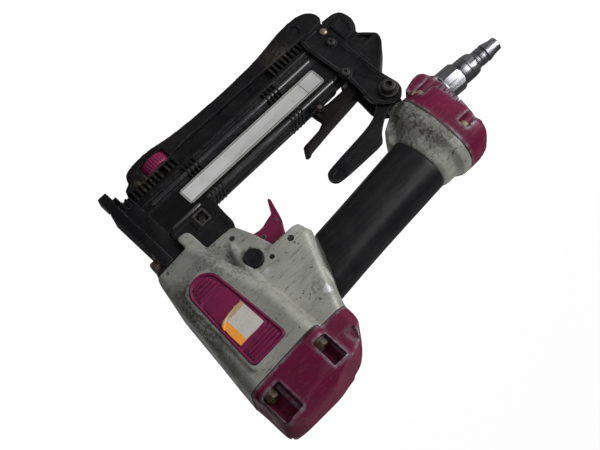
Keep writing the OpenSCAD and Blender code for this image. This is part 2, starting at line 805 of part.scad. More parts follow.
module front_support() color("#2c2c2e") difference() {
  side_plate(-9, 9) polygon([
    [-48, 55.2], [-45.5, 62], [-45, 72], [-45.8, 79], [-43.6, 82.4], [-40, 80.2],
    [-21.3, 79.2], [-13, 78.8], [-12.2, 70], [-12.2, 54.2], [-48, 54.2]]);
  side_plate(-12, 12) polygon([[-39, 56], [-29.5, 56], [-29.5, 66], [-39, 66]]);
  box(-50, -11, 3.7, 6.3, 74.7, 85);
  translate([-30, 5, 0]) rod_z(5.4, 78, 85);
}

module magazine_clip() color("#b9bbb6") difference() {
  box(-38.8, -29.7, -9.4, 9.4, 56.2, 65.8);
  box(-37.8, -30.7, -10, 10, 57.2, 64.8);
}

module magazine_body() color("#232325") difference() {
  union() {
    box(-mag_back, -mag_front, 0.4 - mag_half, mag_half - 0.4, mag_z, mag_top);
    for (s = [-1, 1]) {
      box(-mag_back, -mag_front, s * (mag_half - 0.6) - 0.6, s * (mag_half - 0.6) + 0.6,
        mag_top - 4, mag_top);
      box(-mag_back, -mag_front, s * (mag_half - 0.6) - 0.6, s * (mag_half - 0.6) + 0.6,
        mag_z, mag_z + 6);
      box(-mag_back, -22, s * (mag_half - 0.6) - 0.6, s * (mag_half - 0.6) + 0.6,
        mag_z + 8, mag_z + 12);
    }
    both_sides() {
      translate([lever_x, 0, lever_z]) rod_y(7, 6.8, mag_half);
      box(lever_x - 3.5, lever_x + 3.5, 6.8, mag_half, mag_top - 1, lever_z);
    }
  }
  box(-mag_back - cut, -mag_front - 1.2, -room_half, room_half, room_z, room_top);
  box(-mag_front - 2, cut - mag_front, -0.8, 0.8, room_z, room_top);
  translate([lever_x, 0, lever_z]) rod_y(lever_pin_d + 2 * pin_gap, -10, 10);
  for (x = [-118, -72]) {
    translate([x, 0, 0]) rod_z(3 + 2 * pin_gap, mag_z - cut, mag_z + 4);
  }
  both_sides() translate([-180.5, 0, 33]) rod_y(4 + 2 * pin_gap, room_half - cut, mag_half);
}

module rib_band(x) {
  for (i = [0 : 3]) {
    box(x + 3.1 * i, x + 3.1 * i + 1.7, -mag_half - 0.7, mag_half + 0.7, 50.2, mag_top + 0.7);
    box(x + 3.1 * i, x + 3.1 * i + 1.7, -mag_half - 0.7, mag_half + 0.7, 23.5, 36);
  }
}

module magazine_ribs() color("#28282a") difference() {
  union() {
    rib_band(-132.6);
    rib_band(-60);
  }
  box(-150, -30, -mag_half, mag_half, 0, mag_top);
}

module label_plate() color("#e9e9e6") difference() {
  box(-158.3, label_len - 158.3, -mag_half + 0.4 - label_t, 0.4 - mag_half,
    42.8 - label_h / 2, 42.8 + label_h / 2);
  box(-145, -144.4, -9, -mag_half + 0.25 - label_t, 38, 47.6);
}

module magazine_drawer() color("#8d9094") difference() {
  box(1 - mag_back, drawer_front, -drawer_half, drawer_half, drawer_z, drawer_top);
  box(3 - mag_back, drawer_front - 1.2, drawer_wall - drawer_half, drawer_half - drawer_wall,
    drawer_z + drawer_wall, drawer_top + cut);
  box(drawer_front - 3, drawer_front + cut, -0.9, 0.9, drawer_z + drawer_wall, drawer_top + cut);
}

module hood_side() {
  polygon([
    [-187, 71], [-192, 67.8], [-205, 56.4], [-207, 50.6], [-204.5, 47.5], [-201, 43.5],
    [-197.2, 39.9], [-201, 36], [-203.3, 30.2], [-203, 25.5], [-201.5, 20.5], [-197, 18],
    [-189.3, 17.3], [-186.9, 17.3], [-186.9, 71]]);
}

module drawer_grip() color("#232325") {
  difference() {
    side_plate(-cheek_out, cheek_out) hood_side();
    side_plate(-20, 20) polygon([[-197, 42], [-201, 46], [-203.6, 49.5], [-193, 49.5], [-190, 42]]);
  }
  side_plate(-8.5, 8.5) polygon([[-197, 42], [-200, 46], [-200, 50], [-190, 50], [-189, 41]]);
  box(-187, 1 - mag_back, -drawer_half, drawer_half, drawer_z, drawer_top);
  box(-187.2, -178, -4.5, 4.5, 55, 62);
}

module pusher() color("#b79a52") difference() {
  half = drawer_half - drawer_wall - slide_gap;
  union() {
    box(drawer_front - 19, drawer_front - 1.6, -half, half, drawer_z + drawer_wall + slide_gap,
      drawer_top - 1);
    box(drawer_front - 3, drawer_front - 0.2, -0.6, 0.6, drawer_z + drawer_wall + slide_gap,
      drawer_top - 1);
  }
  translate([drawer_front - 10, 0, 38]) rod_y(12.6, -3.4, 3.4);
  box(drawer_front - 15, drawer_front - 5, -3.4, 3.4, 36, 60);
}

module pusher_spring() color("#a5a8ad") translate([drawer_front - 10, 0, 38]) {
  for (i = [0 : 2]) {
    difference() {
      rod_y(12 - 2.4 * i, -3, 3);
      rod_y(11 - 2.4 * i, -4, 4);
    }
  }
  box(3.2, 5.7, -3, 3, -0.3, 0.3);
  box(-5.7, -3.2, -3, 3, -0.3, 0.3);
}

module guard_side() {
  polygon([
    [-mag_front - 6, 9], [-mag_front - 7, 4.5], [-mag_front - 10.5, 1.5], [-30, 0.2], [-34, 0],
    [-42, 0], [-47, 0.8], [-60, 3.2], [-80, 4.6], [-108, 5.2], [-135, 4.4], [-150, 2.2], [-160, 0.6],
    [-166, 0], [-176, 0], [-182, 1.2], [-187, 4], [-190, 8.5], [-190, 15.5], [-178, 16.6], [-168, 15.6],
    [-140, 14.6], [-100, 13.6], [-54, 13], [-50, 15], [-mag_front - 0.4, 15],
    [-mag_front - 0.4, 10.5]]);
}

module guard_fins() {
  for (i = [0 : 6]) {
    box(-37.6 + 3.6 * i, -35.6 + 3.6 * i, -mag_half, mag_half, 14, mag_z);
  }
  for (i = [0 : 7]) {
    box(-165.8 + 3.7 * i, -163.8 + 3.7 * i, -mag_half, mag_half, 14, mag_z);
  }
  for (i = [0 : 2]) {
    box(-51 + 3.6 * i, -49 + 3.6 * i, -mag_half, mag_half, 14, mag_z);
  }
}

module bottom_guard() color("#2b2b2d") difference() {
  union() {
    side_plate(-guard_half, guard_half) guard_side();
    box(-180, -mag_front - 0.5, -5.5, 5.5, 12, mag_z);
    guard_fins();
  }
  translate([wheel_x, 0, 0]) rod_z(wheel_d + 1, wheel_z - body_gap, wheel_z + wheel_t + 0.2);
  translate([wheel_x, 0, 0]) rod_z(stud_d + 2 * pin_gap, 1.2, mag_z + cut);
  both_sides() translate([-170, 0, 8]) rod_y(9, guard_half - 0.8, guard_half + 3);
  for (x = [-118, -72]) {
    translate([x, 0, 0]) {
      rod_z(3 + 2 * pin_gap, 0, 25);
      rod_z(6.4, -cut, 10);
    }
  }
}

module guard_screws() color("#5d5a56") for (x = [-118, -72]) {
  translate([x, 0, 0]) difference() {
    union() {
      rod_z(3, 10, mag_z + 2.3);
      rod_z(5.6, 7.5, 10);
    }
    hex_z(2.5, 6, 9);
  }
}

module depth_dial() color("#b01a63") translate([wheel_x, 0, 0]) difference() {
  rod_z(wheel_d, wheel_z, wheel_z + wheel_t);
  rod_z(stud_d + 2 * pin_gap, 0, 20);
  for (i = [0 : 23]) {
    rotate([0, 0, 15 * i]) translate([wheel_d / 2 + 0.2, 0, 0])
      rod_z(1.7, wheel_z - cut, wheel_z + wheel_t + cut);
  }
}

module depth_stud() color("#9a9da2") translate([wheel_x, 0, 0]) {
  rod_z(stud_d, 2.5, 19);
}

module cheek_side() {
  polygon([
    [-186.6, 17], [-167, 17], [-165.9, 25.9], [-168.8, 62], [-166.5, 83.3], [-171, 91],
    [-176.5, 95.5], [-183, 95.2], [-187.5, 91.5], [-189, 86.6], [-187.6, 78], [-186.6, 71]]);
}

module rear_bracket() color("#29292b") difference() {
  union() {
    both_sides() side_plate(cheek_in, cheek_out) cheek_side();
    box(-176, -167.6, -cheek_in - 0.1, cheek_in + 0.1, mag_top + 0.1, 61);
  }
  translate([clamp_x, 0, clamp_z]) rod_y(clamp_d + 2 * pin_gap, -20, 20);
  translate([-170.8, 0, 56.2]) rod_y(3 + 2 * pin_gap, -20, 20);
  translate([-180.5, 0, 33]) rod_y(4 + 2 * pin_gap, -20, 20);
  translate([-183, 0, 23.4]) rod_y(3 + 2 * pin_gap, -20, 20);
}

module socket_screw(d, y0, y1, head_d, head_h) {
  rod_y(d, y0, y1);
  difference() {
    rod_y(head_d, y1, y1 + head_h);
    translate([0, y1 + head_h, 0]) rotate([90, 0, 0]) hex_z(head_d / 2, -1, 1.2);
  }
}

module bracket_screws() color("#6b6660") both_sides() {
  translate([-170.8, 0, 56.2]) socket_screw(3, 2, cheek_out, 7, 1.8);
  translate([-180.5, 0, 33]) socket_screw(4, room_half, cheek_out, 6.3, 1.8);
}

module bracket_rivets() color("#b08f4a") both_sides() translate([-183, 0, 23.4]) {
  rod_y(3, mag_half, cheek_out);
  rod_y(5.3, cheek_out, cheek_out + 0.8);
}

module bracket_bolt() color("#4a4a4c") translate([clamp_x, 0, clamp_z]) mirror([0, 1, 0]) {
  socket_screw(clamp_d, -cheek_out - 6, cheek_out + 1.2, 10, 5);
}

module bracket_washers() color("#807c76") translate([clamp_x, 0, clamp_z]) {
  for (y = [-cheek_out - 1.2, cheek_out]) {
    difference() {
      rod_y(13, y, y + 1.2);
      rod_y(clamp_d + 2 * pin_gap, -20, 20);
    }
  }
  difference() {
    rod_y(11, lug_half, cheek_in);
    rod_y(clamp_d + 2 * pin_gap, -20, 20);
  }
}

module bracket_nut() color("#5c5a57") translate([clamp_x, 0, clamp_z]) difference() {
  translate([0, cheek_out + 1.2, 0]) rotate([-90, 0, 0]) hex_z(10, 0, 4.6);
  rod_y(clamp_d + 2 * pin_gap, -20, 20);
}

module belt_hook() color("#2b2b2d") difference() {
  side_plate(-lug_half - 0.1 - hook_t, -lug_half - 0.1) {
    polygon([
      [-187.5, 86], [-186, 81.5], [-181.5, 79], [-176, 80], [-170, 85.5], [-163, 90.5],
      [-157.4, 92.6], [-150, 94.2], [-135, 95.4], [-114, 97.1], [-110.5, 98.5],
      [-108.6, 102], [-109.8, 106], [-113.5, 108.1], [-152.4, 109.2], [-153.6, 105],
      [-160.5, 99.9], [-167, 96], [-178, 93.5], [-184, 92], [-187, 89.5]]);
  }
  translate([clamp_x, 0, clamp_z]) rod_y(clamp_d + 2 * pin_gap, -20, 20);
}

module lever_side() {
  polygon([
    [-172, 62.5], [-172, 69.7], [-168, 70], [-140, 72.5], [-118, 75], [-114.5, 74.6],
    [-115.5, 73], [-119.5, 72.4], [-129.8, 71.5], [-136.8, 68.6], [-138.5, 66.1],
    [-138.4, 61.5], [-139.2, 58.5], [-142, 57.1], [-144.8, 58.5], [-145.6, 61.5], [-148, 62]]);
}

module release_lever() color("#3a2c28") difference() {
  side_plate(-lever_w / 2, lever_w / 2) lever_side();
  side_plate(lever_t - lever_w / 2, lever_w / 2 - lever_t) polygon([
    [-180, 50], [-180, 67.9], [-168, 68.3], [-140, 70.7], [-131, 71.6], [-125, 71], [-125, 50]]);
  translate([lever_x, 0, lever_z]) rod_y(lever_pin_d + 2 * pin_gap, -10, 10);
}

module lever_pin() color("#7a6a5e") translate([lever_x, 0, lever_z]) {
  rod_y(lever_pin_d, -mag_half - 0.6, mag_half + 0.6);
}

module lever_spring() color("#8a5a50") translate([lever_x, 0, lever_z]) {
  translate([0, 4.4, 0]) rotate([90, 0, 0]) coil(2.6, 0.9, 8.8, 6);
}

body_casting();
cylinder_cap();
cap_gasket();
cap_bolts();
cap_washers();
side_pad_left();
side_pad_right();
cylinder_liner();
piston();
piston_ring();
driver_blade();
bumper();
head_valve();
head_valve_spring();
trigger();
trigger_pin();
trigger_arm();
trigger_arm_pin();
trigger_valve_bush();
trigger_valve_stem();
frame_pins();
side_dial();
grip_sleeve();
end_gasket();
end_cap();
end_cap_screws();
swivel_washer();
swivel_nut();
swivel_body();
air_plug();
nose_base();
nose_plate();
nose_bolt();
nose_pin();
contact_arm();
contact_spring();
front_support();
magazine_clip();
magazine_body();
magazine_ribs();
label_plate();
magazine_drawer();
drawer_grip();
pusher();
pusher_spring();
bottom_guard();
guard_screws();
depth_dial();
depth_stud();
rear_bracket();
bracket_screws();
bracket_rivets();
bracket_bolt();
bracket_washers();
bracket_nut();
belt_hook();
release_lever();
lever_pin();
lever_spring();
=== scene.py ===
"""Looks of a worn pneumatic brad nailer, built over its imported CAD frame.

Sizes are written in millimetres, as the part's own drawing has them, and MM turns them into
metres where a mesh is made. X points forward, Z up along the driver, and -Y is the dial side.
"""

import logging
import math
from dataclasses import dataclass, field, replace
from enum import Enum
from typing import Optional, Sequence

import bpy
from mathutils import Matrix, Vector


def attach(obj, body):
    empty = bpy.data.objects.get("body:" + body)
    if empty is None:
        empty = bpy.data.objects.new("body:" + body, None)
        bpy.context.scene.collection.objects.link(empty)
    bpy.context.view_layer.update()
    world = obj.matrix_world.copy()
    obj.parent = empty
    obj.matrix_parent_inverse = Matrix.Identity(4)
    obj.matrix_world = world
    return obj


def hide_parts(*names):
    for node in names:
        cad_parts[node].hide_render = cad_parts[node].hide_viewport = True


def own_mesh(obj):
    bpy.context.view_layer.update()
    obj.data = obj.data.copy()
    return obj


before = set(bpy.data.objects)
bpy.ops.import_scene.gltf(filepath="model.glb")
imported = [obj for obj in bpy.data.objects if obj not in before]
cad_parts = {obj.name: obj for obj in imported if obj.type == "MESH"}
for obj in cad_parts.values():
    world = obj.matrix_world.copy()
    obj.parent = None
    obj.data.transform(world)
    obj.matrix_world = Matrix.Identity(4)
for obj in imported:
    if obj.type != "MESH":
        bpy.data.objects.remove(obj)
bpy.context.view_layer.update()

MM = 0.001
LEAST_RADIUS = 0.05
MERGE_DISTANCE = 1e-7
SOLVER = "MANIFOLD"
LOG = logging.getLogger("nailer")
Piece = bpy.types.Object
Socket = bpy.types.NodeSocket
Node = bpy.types.Node
Tree = bpy.types.NodeTree
Point = tuple[float, float]
Place = tuple[float, float, float]


class Side(Enum):
    """Which side of the tool a piece is on."""

    DIAL = -1.0
    BACK = 1.0


class Plane(Enum):
    """The plane that an outline is drawn in, named by its two axes."""

    XZ = "side view"
    XY = "plan"
    YZ = "front view"


class Cut(Enum):
    """What a tool does to the piece that it is used on."""

    AWAY = "DIFFERENCE"
    ADD = "UNION"
    KEEP = "INTERSECT"


# ---------------------------- bench tools


def clear_selection() -> None:
    """Deselects everything, so that an operator acts only on what is chosen next."""
    if bpy.context.mode != "OBJECT":
        bpy.ops.object.mode_set(mode="OBJECT")
    bpy.ops.object.select_all(action="DESELECT")


def pick(piece: Piece) -> None:
    """Makes one piece the only selected and active object."""
    clear_selection()
    piece.select_set(True)
    bpy.context.view_layer.objects.active = piece


def apply_modifier(piece: Piece, kind: str, **settings: object) -> None:
    """Adds a modifier, sets it and applies it.

    Args:
        piece: The object to change.
        kind: The modifier's type, such as BEVEL.
        settings: Values set on the modifier before it is applied.
    """
    pick(piece)
    modifier = piece.modifiers.new(kind.title(), kind)
    for key, value in settings.items():
        setattr(modifier, key, value)
    bpy.ops.object.modifier_apply(modifier=modifier.name)


def round_edges(piece: Piece, width: float, segments: int = 2, angle: float = 35.0) -> None:
    """Bevels every edge sharper than an angle by a width in millimetres."""
    apply_modifier(
        piece, "BEVEL", width=width * MM, segments=segments, limit_method="ANGLE",
        angle_limit=math.radians(angle), use_clamp_overlap=True, harden_normals=False,
    )


def shade(piece: Piece, angle: float = 35.0) -> None:
    """Shades a piece smooth but for edges sharper than an angle, in degrees."""
    pick(piece)
    bpy.ops.object.shade_smooth_by_angle(angle=math.radians(angle))


def face_outwards(piece: Piece) -> None:
    """Merges doubles and turns every face of a closed piece outwards."""
    pick(piece)
    bpy.ops.object.mode_set(mode="EDIT")
    bpy.ops.mesh.select_all(action="SELECT")
    bpy.ops.mesh.remove_doubles(threshold=MERGE_DISTANCE)
    bpy.ops.mesh.normals_make_consistent(inside=False)
    bpy.ops.object.mode_set(mode="OBJECT")


def place_points(piece: Piece, points: Sequence[Vector]) -> None:
    """Moves each mesh point of a fresh primitive to its place in millimetres."""
    flat = [value * MM for point in points for value in point]
    piece.data.vertices.foreach_set("co", flat)
    piece.data.update()


def skin(name: str, rings: Sequence[Sequence[Vector]], at: Optional[Matrix] = None) -> Piece:
    """Stretches a closed skin over rings of equally many points and closes both ends.

    Args:
        name: The piece's name.
        rings: Rings of places in millimetres, in order along the piece.
        at: A frame that the rings are given in.

    Returns:
        The closed piece.
    """
    around = len(rings[0])
    clear_selection()
    bpy.ops.mesh.primitive_grid_add(x_subdivisions=around, y_subdivisions=len(rings) - 1, size=1)
    piece = bpy.context.active_object
    piece.name = piece.data.name = name
    frame_at = at or Matrix.Identity(4)
    places = [frame_at @ Vector(ring[i % around]) for ring in rings for i in range(around + 1)]
    place_points(piece, places)
    bpy.ops.object.mode_set(mode="EDIT")
    bpy.ops.mesh.select_all(action="SELECT")
    bpy.ops.mesh.remove_doubles(threshold=MERGE_DISTANCE)
    bpy.ops.mesh.select_all(action="DESELECT")
    bpy.ops.mesh.select_mode(type="EDGE")
    bpy.ops.mesh.select_non_manifold()
    bpy.ops.mesh.edge_face_add()
    bpy.ops.mesh.select_mode(type="VERT")
    bpy.ops.object.mode_set(mode="OBJECT")
    face_outwards(piece)
    return piece


def spread(point: Point, height: float, plane: Plane) -> Vector:
    """Puts a point of a flat outline into space at a height above its plane."""
    if plane is Plane.XZ:
        return Vector((point[0], height, point[1]))
    if plane is Plane.XY:
        return Vector((point[0], point[1], height))
    return Vector((height, point[0], point[1]))


def plate(
    name: str, outline: Sequence[Point], low: float, high: float, plane: Plane = Plane.XZ, at: Optional[Matrix] = None
) -> Piece:
    """Cuts a plate of even thickness from an outline.

    Args:
        name: The piece's name.
        outline: Corners of the outline in millimetres.
        low: The lower end across the plane.
        high: The upper end across the plane.
        plane: The plane of the outline.
        at: A frame that the plate is given in.

    Returns:
        The closed plate.
    """
    clear_selection()
    bpy.ops.mesh.primitive_circle_add(vertices=len(outline), fill_type="NGON", radius=1)
    piece = bpy.context.active_object
    piece.name = piece.data.name = name
    frame_at = at or Matrix.Identity(4)
    place_points(piece, [frame_at @ spread(point, low, plane) for point in outline])
    rise = (frame_at.to_3x3() @ spread((0.0, 0.0), high - low, plane)) * MM
    bpy.ops.object.mode_set(mode="EDIT")
    bpy.ops.mesh.select_all(action="SELECT")
    bpy.ops.mesh.extrude_region_move(TRANSFORM_OT_translate={"value": tuple(rise)})
    bpy.ops.object.mode_set(mode="OBJECT")
    face_outwards(piece)
    return piece


def block(name: str, low: Place, high: Place, at: Optional[Matrix] = None) -> Piece:
    """Makes a squared block between two corners."""
    outline = [(low[0], low[2]), (high[0], low[2]), (high[0], high[2]), (low[0], high[2])]
    return plate(name, outline, low[1], high[1], Plane.XZ, at)


def soft_block(
    name: str, low: Place, high: Place, width: float, segments: int = 2, at: Optional[Matrix] = None
) -> Piece:
    """Makes a squared block whose edges are rounded by a width."""
    piece = block(name, low, high, at)
    round_edges(piece, width, segments, 40)
    return piece


def span(side: Side, near: float, far: float) -> list[float]:
    """Gives the ends of a stretch along Y on one side of the tool, the lower one first."""
    return sorted((near * side.value, far * side.value))


def ring_points(radius: float, height: float, sides: int) -> list[Vector]:
    """Gives the points of one round ring about Z."""
    step = math.tau / sides
    return [Vector((radius * math.cos(step * i), radius * math.sin(step * i), height)) for i in range(sides)]


def turned(name: str, profile: Sequence[Point], at: Matrix, sides: int = 64) -> Piece:
    """Turns a profile, given as pairs of radius and height, round the Z of a frame."""
    return skin(name, [ring_points(max(radius, LEAST_RADIUS), height, sides) for radius, height in profile], at)


def lathe(name: str, profile: Sequence[Point], at: Matrix, sides: int = 64) -> Piece:
    """Turns a solid piece from the rim of one flat end to that of the other."""
    return turned(name, [(0, profile[0][1]), *profile, (0, profile[-1][1])], at, sides)


def rod(name: str, radius: float, low: float, high: float, at: Matrix, sides: int) -> Piece:
    """Turns a plain round rod between two heights."""
    return lathe(name, [(radius, low), (radius, high)], at, sides)


def shift(x: float, y: float, z: float) -> Matrix:
    """Gives a plain move in millimetres."""
    return Matrix.Translation((x, y, z))


def along_y(x: float, z: float) -> Matrix:
    """Gives a frame at a place whose Z axis points along +Y."""
    return shift(x, 0.0, z) @ Matrix.Rotation(-math.pi / 2, 4, "X")


def along_x(x: float, z: float) -> Matrix:
    """Gives a frame at a place whose Z axis points along +X."""
    return shift(x, 0.0, z) @ Matrix.Rotation(math.pi / 2, 4, "Y")


def tilted(x: float, z: float, degrees: float) -> Matrix:
    """Gives a frame at a place whose X axis rises by an angle towards +Z."""
    return shift(x, 0.0, z) @ Matrix.Rotation(-math.radians(degrees), 4, "Y")


def spaced(at: Matrix, radius: float, count: int) -> list[Matrix]:
    """Gives frames that stand evenly on a circle round a frame's Z."""
    turns = [math.tau * i / count for i in range(count)]
    return [at @ shift(radius * math.cos(turn), radius * math.sin(turn), 0) for turn in turns]


def copied(piece: Piece, name: str, change: Matrix) -> Piece:
    """Copies a piece with its own mesh and moves the copy's points.

    Args:
        piece: The finished piece to copy.
        name: The copy's name.
        change: The move in millimetres.

    Returns:
        The copy.
    """
    twin = piece.copy()
    twin.data = piece.data.copy()
    twin.name = twin.data.name = name
    bpy.context.collection.objects.link(twin)
    scaled = Matrix.Scale(MM, 4) @ change @ Matrix.Scale(1 / MM, 4)
    twin.data.transform(scaled)
    if change.determinant() < 0:
        twin.data.flip_normals()
    return twin


def mirrored(piece: Piece, name: str = "") -> Piece:
    """Copies a piece to the other side of the tool."""
    return copied(piece, name or piece.name + "_Twin", Matrix.Scale(-1.0, 4, Vector((0, 1, 0))))


def both(piece: Piece) -> list[Piece]:
    """Gives a piece and its copy on the other side of the tool."""
    return [piece, mirrored(piece)]


def joined(name: str, parts: Sequence[Piece]) -> Piece:
    """Joins parts into one object without changing their meshes.

    Args:
        name: The joined piece's name.
        parts: The parts, whose first one keeps its place in the list.

    Returns:
        The joined piece.
    """
    clear_selection()
    for part in parts:
        part.select_set(True)
    bpy.context.view_layer.objects.active = parts[0]
    if len(parts) > 1:
        bpy.ops.object.join()
    piece = bpy.context.active_object
    piece.name = piece.data.name = name
    return piece


def carved(piece: Piece, tools: Sequence[Piece], cut: Cut = Cut.AWAY) -> Piece:
    """Uses tools on a piece one by one and throws them away.

    Args:
        piece: The piece to change.
        tools: Closed cutters, additions or forms to keep within.
        cut: Whether a tool is cut away, added, or keeps only what it shares with the piece.

    Returns:
        The same piece.
    """
    for tool in tools:
        apply_modifier(piece, "BOOLEAN", object=tool, solver=SOLVER, operation=cut.value)
        bpy.data.objects.remove(tool, do_unlink=True)
    return piece


def cast(piece: Piece, voxel: float, soften: int, keep: float = 1.0) -> None:
    """Melts overlapping parts into one skin with the soft edges of a casting.

    Args:
        piece: The piece to change.
        voxel: The grain of the new skin in millimetres.
        soften: How many times the skin is smoothed.
        keep: The share of faces that is kept.
    """
    apply_modifier(piece, "REMESH", mode="VOXEL", voxel_size=voxel * MM)
    if soften:
        apply_modifier(piece, "SMOOTH", factor=0.5, iterations=soften)
    if keep < 1.0:
        apply_modifier(piece, "DECIMATE", ratio=keep)


def rounded(outline: Sequence[Point], radius: float, steps: int = 4) -> list[Point]:
    """Rounds every corner of an outline.

    Args:
        outline: Corners in millimetres.
        radius: The distance from each corner at which the curve starts.
        steps: How many spans each curve has.

    Returns:
        The outline with curves for corners.
    """
    smooth: list[Point] = []
    count = len(outline)
    for i, corner in enumerate(outline):
        here = Vector(corner)
        back = Vector(outline[i - 1]) - here
        ahead = Vector(outline[(i + 1) % count]) - here
        start = here + back.normalized() * min(radius, back.length * 0.45)
        end = here + ahead.normalized() * min(radius, ahead.length * 0.45)
        for k in range(steps + 1):
            t = k / steps
            spot = start * (1 - t) ** 2 + here * (2 * t * (1 - t)) + end * t ** 2
            smooth.append((spot.x, spot.y))
    return smooth


def flowing(outline: Sequence[Point], rounds: int = 2) -> list[Point]:
    """Turns an outline of straight spans into a smooth curve by cutting its corners again and again.

    Args:
        outline: Corners in millimetres.
        rounds: How many times the corners are cut.

    Returns:
        The smooth outline.
    """
    curve = [Vector(corner) for corner in outline]
    for _ in range(rounds):
        ahead = curve[1:] + curve[:1]
        curve = [here * share + there * (1 - share) for here, there in zip(curve, ahead) for share in (0.75, 0.25)]
    return [(spot.x, spot.y) for spot in curve]


def rope(name: str, path: Sequence[Place], radii: Sequence[float], sides: int = 12) -> Piece:
    """Makes a round bar that follows a path.

    Args:
        name: The piece's name.
        path: Points in millimetres.
        radii: The bar's radius at each point.
        sides: How many sides the bar has.

    Returns:
        The closed bar.
    """
    rings = []
    last = len(path) - 1
    for i, spot in enumerate(path):
        ahead = (Vector(path[min(i + 1, last)]) - Vector(path[max(i - 1, 0)])).normalized()
        across = ahead.cross(Vector((0.0, 1.0, 0.0))).normalized()
        rise = across.cross(ahead)
        turns = [math.tau * k / sides for k in range(sides)]
        rings.append([Vector(spot) + (across * math.cos(t) + rise * math.sin(t)) * radii[i] for t in turns])
    return skin(name, rings)


def trimmed(piece: Piece, place: Place, normal: Place, at: Optional[Matrix] = None) -> Piece:
    """Saws a piece along a plane, throws away the side that the normal points to and closes the cut.

    Args:
        piece: The piece to saw.
        place: A point of the plane in millimetres.
        normal: The direction of the part that falls off.
        at: A frame that the plane is given in.

    Returns:
        The same piece.
    """
    frame_at = at or Matrix.Identity(4)
    spot = (frame_at @ Vector(place)) * MM
    away = frame_at.to_3x3() @ Vector(normal)
    pick(piece)
    bpy.ops.object.mode_set(mode="EDIT")
    bpy.ops.mesh.select_all(action="SELECT")
    bpy.ops.mesh.bisect(plane_co=tuple(spot), plane_no=tuple(away), use_fill=True, clear_outer=True)
    bpy.ops.object.mode_set(mode="OBJECT")
    return piece


def plan_ring(
    z: float, front: float, back: float, half_front: float, half_back: float, radius: float, steps: int = 6
) -> list[Vector]:
    """Gives a ring round a plan with rounded corners that may be wider at its back.

    Args:
        z: The height of the ring.
        front: How far it reaches ahead of the driver axis.
        back: How far it reaches behind the driver axis.
        half_front: Its half width at the front.
        half_back: Its half width at the back.
        radius: The radius of its corners.
        steps: How many spans each corner has.

    Returns:
        The ring's places in millimetres.
    """
    ring = []
    corners = (
        (front - radius, half_front - radius), (radius - back, half_back - radius),
        (radius - back, radius - half_back), (front - radius, radius - half_front)
    )
    for quarter, (x, y) in enumerate(corners):
        for k in range(steps + 1):
            a = math.pi / 2 * (quarter + k / steps)
            ring.append(Vector((x + radius * math.cos(a), y + radius * math.sin(a), z)))
    return ring


def oval_ring(
    x: float, width: float, height: float, power: float = 2.4, middle: float = 0.0, sides: int = 48
) -> list[Vector]:
    """Gives a ring round a squarish oval that stands across X.

    Args:
        x: The place of the ring along X.
        width: Its full width along Y.
        height: Its full height along Z.
        power: 2 for an ellipse and more for a squarer form.
        middle: The height of its middle.
        sides: How many points it has.

    Returns:
        The ring's places in millimetres.
    """
    ring = []
    for k in range(sides):
        a = math.tau * k / sides
        c, s = math.cos(a), math.sin(a)
        y = math.copysign(abs(c) ** (2 / power), c) * width / 2
        z = math.copysign(abs(s) ** (2 / power), s) * height / 2
        ring.append(Vector((x, y, middle + z)))
    return ring


def hexagon(across: float, turn: float = 0.0) -> list[Point]:
    """Gives the corners of a hexagon with a given width across its flats."""
    r = across / math.sqrt(3)
    return [(r * math.cos(turn + math.pi / 3 * i), r * math.sin(turn + math.pi / 3 * i)) for i in range(6)]


def hex_head(name: str, across: float, height: float, at: Matrix) -> Piece:
    """Makes the head of a hexagon bolt with a turned chamfer and a dished top.

    Args:
        name: The piece's name.
        across: Its width across flats.
        height: Its height.
        at: A frame whose Z points out of the work.

    Returns:
        The head.
    """
    head = plate(name, hexagon(across), 0.0, height, Plane.XY, at)
    corner = across / math.sqrt(3)
    dome = lathe("Dome", [
        (corner + 1, -1.0), (corner + 1, height - 1.0), (corner - 0.1, height - 0.75), (across / 2 - 0.35, height)
    ], at, 48)
    carved(head, [dome], Cut.KEEP)
    dish = lathe("Dish", [(across * 0.3, height - 0.35), (across * 0.36, height + 1)], at, 36)
    carved(head, [dish])
    round_edges(head, 0.18, 2, 30)
    return head


def socket_head(name: str, diameter: float, height: float, key: float, at: Matrix) -> Piece:
    """Makes a round screw head with a hexagon socket.

    Args:
        name: The piece's name.
        diameter: Its diameter.
        height: Its height.
        key: The socket's width across flats.
        at: A frame whose Z points out of the work.

    Returns:
        The head.
    """
    r = diameter / 2
    head = lathe(name, [(r, 0.0), (r, height * 0.55), (r - 0.3, height * 0.82), (r - 0.8, height)], at, 48)
    hole = plate("Socket", hexagon(key), height * 0.35, height + 1, Plane.XY, at)
    round_edges(head, 0.12, 2, 30)
    carved(head, [hole])
    return head


# ---------------------------- finishes


